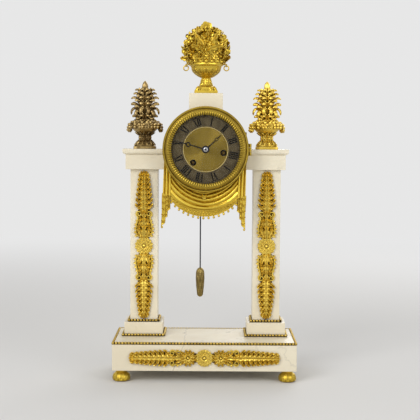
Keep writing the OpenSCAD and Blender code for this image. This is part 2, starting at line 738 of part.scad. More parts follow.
// Plates
module pivots(points, r) for (p = points) rod_at(p, r, rear_face - eps, plate_front + eps);
module front_plate() color(brass) movement() {
    click_at = 5.5;
    difference() {
        union() {
            rod(plate_radius, plate_inner, plate_front);
            for (a = [45 : 90 : 315]) rotate(a) translate([plate_radius - 4, -5, plate_inner])
                cube([12, 10, plate_thick]);
        }
        pivots([inter_at, third_at, escape_at, pallet_at, pin_at, lock_at, fly_at, hammer_at],
            pivot_radius + running);
        pivots([going_at, strike_at], winding_pivot + running);
        pivots([origin], arbor_front + running);
    }
    rod_at(minute_at, arbor_radius, plate_front, plate_front + 6);
    for (p = [going_at, strike_at]) translate([p[0], p[1] - ratchet_radius - 0.4 * click_at, 0]) {
        rod(1.2, plate_front, plate_front + 3);
        translate([-3.5, -1, plate_front + 0.8]) cube([7, 2, 1.4]);
    }
}
module back_plate() color(brass) movement() difference() {
    rod(plate_radius, rear_face, rear_inner);
    pivots([origin, inter_at, third_at, escape_at, lock_at, fly_at], pivot_radius + running);
    pivots([pin_at, hammer_at], arbor_radius + running);
    pivots([going_at, strike_at], winding_pivot + running);
    pivots([pallet_at], 3 * pivot_radius);
}
module plate_pillars() color(brass) movement() for (p = pillars_at) {
    rod_at(p, 2.5, rear_inner, plate_inner);
    rod_at(p, 3.2, plate_inner - 2, plate_inner);
    rod_at(p, 3.2, rear_inner, rear_inner + 2);
}
// The cock stands on two feet behind the back plate and holds the anchor's pivot and the thread
cock_half = 9;
cock_bridge = rear_face - 8;
module back_cock() color(brass) facing() translate([pallet_row[0], pallet_row[1], 0]) difference() {
    union() {
        for (side = [-1, 1]) translate([side * cock_half - 2, -3, cock_bridge - 2])
            cube([4, 6, rear_face - cock_bridge + 2]);
        translate([-cock_half, -3, cock_bridge - 2]) cube([2 * cock_half, 6, 2]);
        translate([-3, moving_gap, pendulum_at - 2]) cube([6, 2, cock_bridge - pendulum_at + 1]);
    }
    rod(pivot_radius + running, cock_bridge - 3, cock_bridge + eps);
    for (x = [-1, 1]) translate([x * thread_half, 0, pendulum_at]) rotate([-90, 0, 0]) rod(0.4, -eps, 5);
}

// Gears
module gear(p, n, m, phase, form, from, to) translate([p[0], p[1], from]) linear_extrude(to - from)
    polygon(gear_points(n, m, phase, form));
// A wheel with round crossings cut between its hub and rim
module crossed(p, n, m, phase, at, holes) difference() {
    gear(p, n, m, phase, wheel_form, at, at + wheel_thick);
    r = n * m / 2 - tooth_root * m;
    for (i = [0 : holes - 1])
        rod_at(p + polar(0.56 * r, 360 * (i + 0.5) / holes), 0.27 * r, at - eps, at + wheel_thick + eps);
}
module pinion(p, n, m, phase, at) gear(p, n, m, phase, leaf_form, at - 0.5, at + wheel_thick + 0.5);
// An arbor between the plates with a pivot at each end
module arbor(p) {
    shoulder = 0.2;
    rod_at(p, arbor_radius, rear_inner + shoulder, plate_inner - shoulder);
    rod_at(p, pivot_radius, rear_face + shoulder, plate_front - shoulder);
}

// Going train
arbor_front = 1.2;
cannon_pipe = 1.9;
hour_pipe = 3;
ratchet_radius = 8;
centre_phase = 0;
inter_phase = mesh_phase(origin, inter_at, centre_phase, centre_leaves, inter_teeth);
motion_at = plate_front + 1;
hour_wheel_at = motion_at + 2.3;
module barrel(p, pinion_at) {
    phase = mesh_phase(pinion_at, p, 0, barrel_pinion, barrel_teeth);
    bore = barrel_arbor + running;
    difference() {
        union() {
            rod_at(p, barrel_radius, barrel_cap_at, barrel_rim_at + 0.1);
            gear(p, barrel_teeth, barrel_module, phase, wheel_form, barrel_rim_at,
                barrel_rim_at + barrel_rim);
        }
        rod_at(p, barrel_radius - barrel_wall, barrel_cap_at + barrel_wall, barrel_rim_at);
        rod_at(p, bore, barrel_cap_at - eps, barrel_rim_at + barrel_rim + eps);
    }
    translate([p[0], p[1], barrel_cap_at + barrel_wall + 0.5])
        mainspring(barrel_rim_at - barrel_cap_at - barrel_wall - 1);
}
// The mainspring is a flat strip wound in a spiral from the arbor to the wall
module mainspring(width) {
    coils = 7;
    steps = 24;
    strip = 0.6;
    inside = barrel_arbor + 0.5;
    outside = barrel_radius - barrel_wall - 0.2;
    run = [for (i = [0 : coils * steps])
        [360 * i / steps, lerp(inside, outside - strip, i / (coils * steps))]];
    linear_extrude(width) polygon(concat(
        [for (k = run) polar(k[1], k[0])],
        [for (i = [len(run) - 1 : -1 : 0]) polar(run[i][1] + strip, run[i][0])]));
}
// A winding arbor with its ratchet in front of the plate and its square behind the dial
module winding_arbor(p) {
    shoulder = 0.25;
    teeth = 30;
    rod_at(p, barrel_arbor, rear_inner + shoulder, plate_inner - shoulder);
    rod_at(p, winding_pivot, rear_face + shoulder, plate_front + 1.5);
    translate([p[0], p[1], plate_front + 0.6]) linear_extrude(1.6) polygon([for (i = [0 : teeth - 1]) each [
        polar(ratchet_radius, 360 * i / teeth), polar(ratchet_radius - 0.9, 360 * (i + 0.15) / teeth)]]);
    translate([p[0], p[1], plate_front + 2])
        box(winding_square, winding_square, dial_front - plate_front - 2);
}
module going_barrel() color(brass) movement() barrel(going_at, inter_at);
module going_arbor() color(steel) movement() winding_arbor(going_at);
module intermediate_wheel() color(brass) movement() {
    crossed(inter_at, inter_teeth, inter_module, inter_phase, inter_wheel_at, 5);
    pinion(inter_at, barrel_pinion, barrel_module, 0, barrel_rim_at + (barrel_rim - wheel_thick) / 2);
    arbor(inter_at);
}
module centre_wheel() color(brass) movement() {
    crossed(origin, centre_teeth, centre_module, centre_phase, centre_wheel_at, 5);
    pinion(origin, centre_leaves, inter_module, centre_phase, inter_wheel_at);
    rod(arbor_front, rear_inner + 0.2, minute_hand_at + hand_thick + 1.4);
    rod(pivot_radius, rear_face + 0.2, rear_inner + eps);
}
module cannon_pinion() color(steel) movement() difference() {
    union() {
        gear(origin, cannon_leaves, cannon_module, 0, leaf_form, motion_at, motion_at + wheel_thick + 0.4);
        rod(cannon_pipe, plate_front + 0.3, minute_hand_at + hand_thick);
    }
    rod(arbor_front + 0.02, plate_front - eps, minute_hand_at + 2);
}
module minute_wheel() color(brass) movement() difference() {
    union() {
        crossed(minute_at, minute_teeth, cannon_module,
            mesh_phase(origin, minute_at, 0, cannon_leaves, minute_teeth), motion_at, 4);
        gear(minute_at, minute_leaves, hour_module, 0, leaf_form, motion_at + wheel_thick - 0.1,
            hour_wheel_at + wheel_thick + 0.4);
    }
    rod_at(minute_at, arbor_radius + running, motion_at - eps, hour_wheel_at + 3);
}
module hour_wheel() color(brass) movement() difference() {
    union() {
        crossed(origin, hour_teeth, hour_module,
            mesh_phase(minute_at, origin, 0, minute_leaves, hour_teeth), hour_wheel_at, 6);
        rod(hour_pipe, hour_wheel_at, hour_hand_at + hand_thick);
    }
    rod(cannon_pipe + running, hour_wheel_at - eps, hour_hand_at + 2);
}
module third_wheel() color(brass) movement() {
    crossed(third_at, third_teeth, third_module, 0, third_wheel_at, 5);
    pinion(third_at, third_leaves, centre_module,
        mesh_phase(origin, third_at, centre_phase, centre_teeth, third_leaves), centre_wheel_at);
    arbor(third_at);
}
// The escape wheel's teeth lean forward
module escape_wheel() color(brass) movement() {
    translate([escape_at[0], escape_at[1], escape_wheel_at]) linear_extrude(wheel_thick)
        polygon([for (i = [0 : escape_teeth - 1]) each [
        polar(escape_radius, 360 * i / escape_teeth),
            polar(escape_radius - 1.2, 360 * (i + 0.25) / escape_teeth),
        polar(escape_radius - 1.2, 360 * (i + 0.8) / escape_teeth)]]);
    gear(escape_at, escape_leaves, third_module,
        mesh_phase(third_at, escape_at, 0, third_teeth, escape_leaves), leaf_form,
        third_wheel_at - 0.4, third_wheel_at + wheel_thick + 0.5);
    arbor(escape_at);
}

// Escapement and pendulum
pallet_clear = 0.6;
pallet_span = 37;
crutch_length = 30;
thread_half = 1.4;
thread_length = 8;
thread_radius = 0.25;
module pallet_anchor() color(steel) {
    movement() {
        toward = bearing(escape_at, pallet_at);
        lift = norm(pallet_at - escape_at) - escape_radius;
        arm = [[29.5, lift + 2.2], [pallet_span + 5, pallet_clear], [pallet_span - 4, pallet_clear],
            [21, lift - 0.1]];
        translate([0, 0, escape_wheel_at]) linear_extrude(wheel_thick) polygon(concat(
            [tip_at(toward, lift + 1.8)], [for (k = arm) tip_at(toward - k[0], k[1])],
            [tip_at(toward, lift - 1.2)], [for (i = [3 : -1 : 0]) tip_at(toward + arm[i][0], arm[i][1])]));
        rod_at(pallet_at, arbor_radius, crutch_at, plate_inner - 0.2);
        rod_at(pallet_at, pivot_radius, cock_bridge - 1.8, plate_front - 0.2);
    }
    facing() translate([pallet_row[0], pallet_row[1], 0]) {
        translate([0, 0, crutch_at]) rotate([90, 0, 0]) rod(0.8, 0, crutch_length);
        translate([0, 0, crutch_at]) rod(2, -0.8, 0.8);
        for (x = [-1, 1])
            translate([x * (rod_radius + moving_gap + 0.6) - 0.6, -crutch_length - 1, pendulum_at - 2])
            cube([1.2, 2, crutch_at - pendulum_at + 2]);
        translate([-rod_radius - moving_gap - 1.2, -crutch_length - 1, crutch_at - 1])
            cube([2 * (rod_radius + moving_gap + 1.2), 2, 2]);
    }
}
function tip_at(a, off) = escape_at + polar(escape_radius + off, a);
module hung() facing() translate([pallet_row[0], pallet_row[1], pendulum_at]) rotate([90, 0, 0]) children();
module silk_thread() color("#d8cfae") hung() {
    for (x = [-1, 1]) translate([x * thread_half, 0, 0]) rod(thread_radius, 0, thread_length);
    translate([-thread_half, 0, thread_length]) rotate([0, 90, 0])
        rod(thread_radius, -thread_radius, 2 * thread_half + thread_radius);
}
module pendulum_rod() color(steel) hung() {
    top = thread_length + thread_radius;
    rod(rod_radius, top, pendulum_length - bob_height / 2 + 2);
    rod(2, top + 2, top + 4);
}
module pendulum_bob() color(ormolu) hung() translate([0, 0, pendulum_length - bob_height / 2])
    difference() {
    rotate_extrude() polygon(concat([[0, 0]], spline(bob_profile(), 5), [[0, bob_height]]));
    rod(rod_radius, -eps, 2);
}
function bob_profile() = [
    [1.8, 0], [0.66 * bob_radius, 0.04 * bob_height], [0.92 * bob_radius, 0.14 * bob_height],
        [bob_radius, 0.33 * bob_height],
    [0.93 * bob_radius, 0.55 * bob_height], [0.78 * bob_radius, 0.78 * bob_height],
        [0.6 * bob_radius, 0.95 * bob_height],
    [1, bob_height]];

// Striking train
module strike_barrel() color(brass) movement() barrel(strike_at, pin_at);
module strike_arbor() color(steel) movement() winding_arbor(strike_at);
// The pin wheel lifts the hammer, and the count wheel rides on the same arbor behind the plate
count_radius = 13;
lifting_pins = 8;
lifting_radius = 7.4;
module pin_wheel() color(brass) movement() {
    crossed(pin_at, pin_teeth, centre_module, 0, inter_wheel_at, 4);
    pinion(pin_at, barrel_pinion, barrel_module, 0, barrel_rim_at + (barrel_rim - wheel_thick) / 2);
    arbor(pin_at);
    for (i = [0 : lifting_pins - 1])
        rod_at(pin_at + polar(lifting_radius, 360 * i / lifting_pins), 0.5, inter_wheel_at + 0.1,
            inter_wheel_at + wheel_thick + 1.5);
    rod_at(pin_at, arbor_radius, rear_face - 2.8, rear_inner + eps);
    translate([pin_at[0], pin_at[1], rear_face - 2.4]) linear_extrude(1.4) difference() {
        circle(count_radius);
        for (i = [1 : 12]) rotate(360 * i * (i + 1) / 2 / 78) translate([count_radius, 0])
            square([3, 1.2], center = true);
        for (i = [0 : 3]) translate(polar(0.52 * count_radius, 90 * i)) circle(0.26 * count_radius);
    }
}
module locking_wheel() color(brass) movement() {
    crossed(lock_at, lock_teeth, third_module, 0, lock_wheel_at, 4);
    pinion(lock_at, lock_leaves, centre_module, mesh_phase(pin_at, lock_at, 0, pin_teeth, lock_leaves),
        inter_wheel_at);
    arbor(lock_at);
}
module fly() color(brass) movement() {
    vane = 9.6;
    pinion(fly_at, fly_leaves, third_module, mesh_phase(lock_at, fly_at, 0, lock_teeth, fly_leaves),
        lock_wheel_at);
    arbor(fly_at);
    translate([fly_at[0], fly_at[1], lock_wheel_at + 3]) box(vane, 0.7, 7);
}
// The hammer's arm stands outside the bell, and its tail reaches to the lifting pins
hammer_head = 3;
hammer_arm = polar(21.4, 51.5);
module hammer() color(steel) movement() translate([hammer_at[0], hammer_at[1], 0]) {
    strike = bell_mouth - 4;
    rod(arbor_radius, strike - 1, plate_inner - 0.2);
    rod(pivot_radius, plate_inner - eps, plate_front - 0.2);
    rotate(bearing(origin, hammer_arm)) translate([0, -0.9, strike - 1]) cube([norm(hammer_arm), 1.8, 2]);
    translate([hammer_arm[0], hammer_arm[1], 0]) rod(hammer_head, strike - 3, strike + 3);
    rotate(bearing(hammer_at, pin_at)) translate([0, -0.6, inter_wheel_at + wheel_thick + 0.4])
        cube([norm(pin_at - hammer_at) - lifting_radius - 1.1, 1.2, 1]);
}
// The bell stands on a post behind the back plate, with its mouth to the movement
module bell() color(brass) movement() translate([bell_at[0], bell_at[1], 0]) {
    r = 33;
    wall = 1.6;
    depth = 11;
    rotate_extrude() difference() {
        bell_section(r, depth);
        translate([0, eps]) bell_section(r - wall, depth - wall + eps);
    }
    rod(2, bell_mouth - depth - 1.5, rear_face);
    rod(3.4, bell_mouth - depth + wall - 2.4, bell_mouth - depth + wall + 0.1);
    rod(4, rear_face - 2, rear_face);
}
module bell_section(r, depth) translate([0, bell_mouth - depth]) {
    translate([0, depth / 2]) square([r, depth / 2]);
    square([r - depth / 2, depth]);
    translate([r - depth / 2, depth / 2]) circle(depth / 2);
}

base_plinth();
left_column_block();
right_column_block();
left_column_shaft();
right_column_shaft();
left_frieze();
right_frieze();
left_cornice();
right_cornice();
vase_block();
feet();
base_bead_trim();
column_bead_trims();
base_mount();
left_column_mount();
right_column_mount();
drapery_swag();
drapery_tails();
vase();
vase_bouquet();
left_vase_ring();
right_vase_ring();
left_finial();
right_finial();
tie_bolts();
drum_fasteners();
drum_case();
bezel();
dial_glass();
back_door();
dial_plate();
chapter_ring();
minute_hand();
hour_hand();
front_plate();
back_plate();
plate_pillars();
back_cock();
going_barrel();
going_arbor();
intermediate_wheel();
centre_wheel();
cannon_pinion();
minute_wheel();
hour_wheel();
third_wheel();
escape_wheel();
pallet_anchor();
silk_thread();
pendulum_rod();
pendulum_bob();
strike_barrel();
strike_arbor();
pin_wheel();
locking_wheel();
fly();
hammer();
bell();
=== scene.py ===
"""Dresses the portico clock: white marble, gilt bronze ornament, dial and movement."""

import json
import logging
import math
import random
from dataclasses import dataclass, field
from enum import Enum
from typing import Callable, Iterator, Sequence

import bmesh
import bpy
from mathutils import Matrix, Vector
from mathutils.bvhtree import BVHTree

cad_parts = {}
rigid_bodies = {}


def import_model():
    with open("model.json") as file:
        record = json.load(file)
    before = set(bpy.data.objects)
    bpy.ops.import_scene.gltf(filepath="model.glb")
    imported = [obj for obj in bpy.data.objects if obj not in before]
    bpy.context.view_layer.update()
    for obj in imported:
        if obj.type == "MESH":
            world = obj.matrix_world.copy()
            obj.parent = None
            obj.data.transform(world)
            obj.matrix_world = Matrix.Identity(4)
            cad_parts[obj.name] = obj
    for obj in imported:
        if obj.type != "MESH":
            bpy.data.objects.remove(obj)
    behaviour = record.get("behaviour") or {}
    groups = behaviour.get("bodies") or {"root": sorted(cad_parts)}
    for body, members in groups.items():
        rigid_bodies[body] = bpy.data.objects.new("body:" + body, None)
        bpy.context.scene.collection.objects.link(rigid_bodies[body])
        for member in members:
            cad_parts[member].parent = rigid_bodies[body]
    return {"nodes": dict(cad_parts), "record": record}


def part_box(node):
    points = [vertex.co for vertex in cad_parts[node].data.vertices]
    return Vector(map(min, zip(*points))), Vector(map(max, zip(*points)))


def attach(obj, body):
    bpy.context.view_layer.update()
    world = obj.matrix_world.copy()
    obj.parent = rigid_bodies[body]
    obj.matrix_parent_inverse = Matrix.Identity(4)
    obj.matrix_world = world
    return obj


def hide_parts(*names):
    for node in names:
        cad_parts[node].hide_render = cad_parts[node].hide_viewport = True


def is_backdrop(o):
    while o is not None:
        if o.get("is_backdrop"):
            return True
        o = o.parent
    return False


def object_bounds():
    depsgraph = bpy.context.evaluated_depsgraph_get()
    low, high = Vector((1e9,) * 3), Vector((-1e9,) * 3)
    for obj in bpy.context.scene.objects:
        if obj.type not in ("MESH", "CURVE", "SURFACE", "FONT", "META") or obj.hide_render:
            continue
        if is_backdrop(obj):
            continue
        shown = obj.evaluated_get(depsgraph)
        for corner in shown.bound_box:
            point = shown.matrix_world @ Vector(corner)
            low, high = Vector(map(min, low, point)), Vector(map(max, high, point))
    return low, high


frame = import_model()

LOG = logging.getLogger("portico_clock")
MM = 0.001
UP = Vector((0, 0, 1))
UPRIGHT = Matrix.Identity(4)
SIGNS = (-1, 1)
Material, Mesh, Socket = bpy.types.Material, bpy.types.Mesh, bpy.types.NodeSocket
Triple = tuple[float, float, float]
Colour = Triple
Row = Sequence[float]
Point = tuple[Vector, float]
Shape = Callable[[float, float], Point]


class Motif(Enum):
    LEAF = 0
    PETAL = 1
    BLADE = 2
    FLOWER = 3
    BERRY = 4
    SCROLL = 5
    FROND_LOW = 6
    FROND_ARCH = 7
    FROND_BULB = 8
    FROND_WIDE = 9
    FROND_HIGH = 10
    FROND_TOP = 11


class Side(Enum):
    """The two sides of the clock, by the sign of x."""

    LEFT = -1
    RIGHT = 1


def lerp(a: float, b: float, t: float) -> float:
    """Gives the value a share t of the way from a to b."""
    return a + (b - a) * t


def along(rows: Sequence[Row], t: float) -> Vector:
    """Gives a point on the smooth curve through some points.

    Args:
        rows: the points, two or three numbers each.
        t: the share of the way along, 0 to 1.

    Returns:
        The point, with as many numbers as the given ones.
    """
    points = [Vector(row) for row in rows]
    place = min(max(t, 0.0), 1.0) * (len(points) - 1)
    i = min(int(place), len(points) - 2)
    u = place - i
    before = points[max(i - 1, 0)]
    a, b = points[i], points[i + 1]
    after = points[min(i + 2, len(points) - 1)]
    return 0.5 * (2 * a + (b - before) * u + (2 * before - 5 * a + 4 * b - after) * u * u
                  + (3 * a - before - 3 * b + after) * u * u * u)


def turn_by(degrees: float, axis: str = "Z") -> Matrix:
    """Gives a turn about an axis."""
    return Matrix.Rotation(math.radians(degrees), 4, axis)


def box_mm(node: str) -> tuple[Vector, Vector]:
    """Gives the lowest and the highest corner of a node, in millimetres."""
    low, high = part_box(node)
    return low / MM, high / MM


def middle(node: str) -> Vector:
    """Gives the middle of a node's box, in millimetres."""
    low, high = box_mm(node)
    return (low + high) / 2


def skin_of(node: str) -> BVHTree:
    """Gives the skin of a node, for rays to hit."""
    mesh = frame["nodes"][node].data
    return BVHTree.FromPolygons([v.co for v in mesh.vertices], [p.vertices for p in mesh.polygons])


def on_front(x: float, y: float, z: float, turn: float = 0.0) -> Matrix:
    """Gives a place on a front face.

    Args:
        x: millimetres to the right.
        y: millimetres up.
        z: millimetres out towards the front.
        turn: degrees anticlockwise, seen from the front.

    Returns:
        The matrix for a motif that grows along y and faces z.
    """
    return turn_by(90, "X") @ Matrix.Translation((x, y, z)) @ turn_by(turn)


def round_axis(axis: Vector, bearing: float, reach: float, height: float, lean: float = 0.0) -> Matrix:
    """Gives a place on a round body that stands on an upright axis.

    Args:
        axis: foot of the axis, in millimetres.
        bearing: degrees round the axis, from the right.
        reach: millimetres out from the axis.
        height: millimetres above the foot.
        lean: degrees that the tip leans out.

    Returns:
        The matrix for a motif that grows upwards and faces out.
    """
    a = math.radians(bearing)
    out = Vector((math.cos(a), math.sin(a), 0))
    faced = Matrix((UP.cross(out), UP, out)).transposed().to_4x4()
    place = axis + Vector((out.x * reach, out.y * reach, height))
    return Matrix.Translation(place) @ faced @ turn_by(lean, "X")


def leaf_form(v: float, s: float) -> tuple[float, float, float, float]:
    """Gives the form of an acanthus leaf with three lobes a side.

    Args:
        v: share of the length, from the root.
        s: share of the width, -1 to 1.

    Returns:
        Half-width, forward lean of the lobes, relief and recess, for a leaf of unit size.
    """
    side = abs(s)
    swell = max(math.sin(math.pi * min(0.1 + 0.9 * v, 1.0) ** 0.85), 0.0) ** 0.55
    lobe = math.sqrt(abs(math.sin(3 * math.pi * v)))
    half = 0.5 * swell * (1 - 0.42 * (1 - lobe) * side)
    column = round(2 * side)
    rise = (0.25, 0.55 + 0.3 * lobe, 0.05)[column] * min(1.6 * swell, 1.0)
    # Darker along the midrib and in the cuts between the lobes: patina and painted shade in the creases.
    dark = (0.8, 0.0, 0.2)[column] + 0.7 * (1 - lobe) * side
    lean = 0.06 * lobe * side * (1 - v)
    return half, lean, rise + 0.25 * math.sin(math.pi * v), min(dark, 1.0)


class Cast:
    def __init__(self) -> None:
        """Starts with nothing."""
        self.points: list[Vector] = []
        self.faces: list[tuple[int, ...]] = []
        # How deep in a hollow each point lies; the gilding darkens by it, partly as patina and partly as
        # painted shade.
        self.recess: list[float] = []
        self.motifs: list[tuple[int, Vector, Vector, Vector]] = []

    def put(self, motif: Motif, at: Matrix, wide: float, long: float, deep: float) -> None:
        """Takes one place: a motif, where it goes and its size in millimetres."""
        place, turn, _ = at.decompose()
        self.motifs.append((motif.value, place * MM, Vector(turn.to_euler()),
                            Vector((wide, long, deep)) * MM))

    def places(self, name: str) -> bpy.types.Object:
        """Makes loose points for the motifs, with each one's number, turn and size.

        Args:
            name: name of the object.

        Returns:
            The object, in no collection.
        """
        mesh = bpy.data.meshes.new(name)
        mesh.from_pydata([row[1] for row in self.motifs], [], [])
        numbers = [row[0] for row in self.motifs]
        mesh.attributes.new("motif", "INT", "POINT").data.foreach_set("value", numbers)
        for label, k in (("turn", 2), ("size", 3)):
            flat = [number for row in self.motifs for number in row[k]]
            mesh.attributes.new(label, "FLOAT_VECTOR", "POINT").data.foreach_set("vector", flat)
        return bpy.data.objects.new(name, mesh)

    def _grid(self, rows: Sequence[Sequence[Point]], at: Matrix) -> list[list[int]]:
        """Takes rows of points.

        Args:
            rows: the points with their recess.
            at: where they go.

        Returns:
            The points' numbers, row by row.
        """
        numbers = []
        for row in rows:
            numbers.append(list(range(len(self.points), len(self.points) + len(row))))
            for point, recess in row:
                self.points.append(at @ point)
                self.recess.append(recess)
        return numbers

    def lens(self, shape: Shape, rows: int, cols: int, at: Matrix = UPRIGHT) -> None:
        """Adds a closed leaf: a shaped front over a back that runs straight across.

        Args:
            shape: gives the point and recess for v along, 0 to 1, and s across, -1 to 1.
            rows: steps along.
            cols: steps across.
            at: where it goes.
        """
        grid = self._grid([[shape(r / rows, 2 * c / cols - 1) for c in range(cols + 1)]
                           for r in range(rows + 1)], at)
        for low, high in zip(grid, grid[1:]):
            self.faces += [(low[c], low[c + 1], high[c + 1], high[c]) for c in range(cols)]
            self.faces.append((low[0], high[0], high[-1], low[-1]))
        self.faces.append(tuple(grid[0][::-1]))
        self.faces.append(tuple(grid[-1]))

    def sheet(self, shape: Shape, rows: int, cols: int, thick: float, at: Matrix = UPRIGHT) -> None:
        """Adds a sheet of one thickness whose front is shaped.

        Args:
            shape: gives the point and recess for v up, 0 to 1, and s across, -1 to 1.
            rows: steps up.
            cols: steps across.
            thick: millimetres from front to back.
            at: where it goes.
        """
        front = [[shape(r / rows, 2 * c / cols - 1) for c in range(cols + 1)] for r in range(rows + 1)]
        step = Vector((0, 0, thick))
        # The back is marked fully recessed, so the gilding paints it dark: painted shade behind the sheet.
        back = [[(point - step, 1.0) for point, _ in row] for row in front]
        f, b = self._grid(front, at), self._grid(back, at)
        for r in range(rows):
            for c in range(cols):
                self.faces.append((f[r][c], f[r][c + 1], f[r + 1][c + 1], f[r + 1][c]))
                self.faces.append((b[r][c], b[r + 1][c], b[r + 1][c + 1], b[r][c + 1]))
            self.faces.append((f[r][0], f[r + 1][0], b[r + 1][0], b[r][0]))
            self.faces.append((f[r][-1], b[r][-1], b[r + 1][-1], f[r + 1][-1]))
        for c in range(cols):
            self.faces.append((f[0][c + 1], f[0][c], b[0][c], b[0][c + 1]))
            self.faces.append((f[-1][c], f[-1][c + 1], b[-1][c + 1], b[-1][c]))

    def tube(self, rows: Sequence[Sequence[Point]], at: Matrix = UPRIGHT, closed: bool = False) -> None:
        """Adds a skin round rows of points, capped at its ends or closed on itself.

        Args:
            rows: the points round the body, from its foot to its top.
            at: where it goes.
            closed: whether the last row joins the first.
        """
        grid = self._grid(rows, at)
        sides = len(grid[0])
        for low, high in zip(grid, grid[1:] + (grid[:1] if closed else [])):
            for k in range(sides):
                after = (k + 1) % sides
                self.faces.append((low[k], low[after], high[after], high[k]))
        if not closed:
            self.faces += [tuple(grid[0][::-1]), tuple(grid[-1])]

    def sweep(self, path: Sequence[Vector], radii: Row, across: Vector, sides: int, flat: float = 1.0,
              at: Matrix = UPRIGHT) -> None:
        """Adds a tapering bar along a path.

        Args:
            path: points along the middle.
            radii: half-width at each point.
            across: a direction that is never along the path.
            sides: sides of the bar.
            flat: depth as a share of the width, measured along the across direction.
            at: where it goes.
        """
        angles = [2 * math.pi * k / sides for k in range(sides)]
        rows: list[list[Point]] = []
        for i, centre in enumerate(path):
            ahead = path[min(i + 1, len(path) - 1)] - path[max(i - 1, 0)]
            n = across.cross(ahead).normalized()
            b = ahead.normalized().cross(n)
            rows.append([(centre + radii[i] * (math.cos(a) * n + flat * math.sin(a) * b), 0.0)
                         for a in angles])
        self.tube(rows, at)

    def lathe(self, profile: Sequence[Row], sides: int, at: Matrix = UPRIGHT,
              ripple: Callable[[float, float], float] = lambda angle, height: 1.0,
              closed: bool = False) -> None:
        """Adds a turned body round the upright axis.

        Args:
            profile: radius, height and recess from the foot to the top.
            sides: steps round.
            at: where it goes.
            ripple: radius factor for an angle and a height.
            closed: whether the top joins the foot.
        """
        rows: list[list[Point]] = []
        for r, z, recess in profile:
            row = []
            for k in range(sides):
                a = 2 * math.pi * k / sides
                reach = r * ripple(a, z)
                row.append((Vector((reach * math.cos(a), reach * math.sin(a), z)), recess))
            rows.append(row)
        self.tube(rows, at, closed)

    def ring(self, profile: Sequence[Row], sides: int, at: Matrix = UPRIGHT) -> None:
        """Adds a closed ring with that section, anticlockwise in radius and height."""
        self.lathe([(r, z, 0.0) for r, z in profile], sides, at, closed=True)

    def prism(self, outline: Sequence[Row], low: float, high: float, at: Matrix = UPRIGHT) -> None:
        """Adds an anticlockwise outline raised from one height to another."""
        self.tube([[(Vector((x, y, z)), 0.0) for x, y in outline] for z in (low, high)], at)

    def bar(self, wide: float, tall: float, low: float, high: float, at: Matrix = UPRIGHT) -> None:
        """Adds a rectangular block of that half-width and half-height."""
        self.prism([(-wide, -tall), (wide, -tall), (wide, tall), (-wide, tall)], low, high, at)

    def mesh(self, name: str, scale: float = MM, crease: float = 40.0) -> Mesh:
        """Makes the Blender mesh.

        Args:
            name: name of the mesh.
            scale: metres for one unit.
            crease: degrees past which an edge stays sharp.

        Returns:
            The mesh, with its recess attribute.
        """
        mesh = bpy.data.meshes.new(name)
        mesh.from_pydata([p * scale for p in self.points], [], self.faces)
        mesh.attributes.new("recess", "FLOAT", "POINT").data.foreach_set("value", self.recess)
        work = bmesh.new()
        work.from_mesh(mesh)
        bmesh.ops.remove_doubles(work, verts=work.verts, dist=2e-4 * scale)
        bmesh.ops.dissolve_degenerate(work, edges=work.edges, dist=1e-4 * scale)
        work.to_mesh(mesh)
        work.free()
        mesh.shade_smooth()
        mesh.set_sharp_from_angle(angle=math.radians(crease))
        return mesh


class Wiring:
    """A node tree, with short ways to add nodes."""

    def __init__(self, tree: bpy.types.NodeTree) -> None:
        """Takes the tree that gets the nodes."""
        self.nodes, self.links = tree.nodes, tree.links

    def feed(self, socket: Socket, value: object) -> None:
        """Joins a socket or sets its constant.

        Args:
            socket: the input to feed.
            value: a constant, another socket or a list of sockets.
        """
        for one in value if isinstance(value, list) else [value]:
            if isinstance(one, Socket):
                self.links.new(one, socket)
            elif isinstance(one, tuple) and socket.type == "RGBA":
                socket.default_value = (*one, 1.0)
            else:
                socket.default_value = one

    def node(self, kind: str, inputs: dict[object, object], output: object = 0,
             **properties: object) -> Socket:
        """Adds a node.

        Args:
            kind: Blender's name of the node type.
            inputs: values or sockets for its inputs; a list joins each to the same input.
            output: which output is given back.
            properties: settings of the node itself.

        Returns:
            The output socket.
        """
        made = self.nodes.new(kind)
        for label, value in properties.items():
            setattr(made, label, value)
        for label, value in inputs.items():
            self.feed(made.inputs[label], value)
        return made.outputs[output]

    def maths(self, operation: str, a: object, b: object = 0.0, c: object = 0.0) -> Socket:
        """Does a sum on up to three values."""
        return self.node("ShaderNodeMath", {0: a, 1: b, 2: c}, operation=operation)

    def length(self, arm: object) -> Socket:
        """Gives the length of a vector."""
        return self.node("ShaderNodeVectorMath", {0: arm}, "Value", operation="LENGTH")

    def seen(self) -> Socket:
        """Tells what is looked at from what only gives light.

        Returns:
            1 for what the camera meets, straight, mirrored or through glass.
        """
        path = self.nodes.new("ShaderNodeLightPath")
        share = path.outputs["Is Camera Ray"]
        for label in ("Is Glossy Ray", "Is Transmission Ray"):
            share = self.maths("MAXIMUM", share, path.outputs[label])
        return share


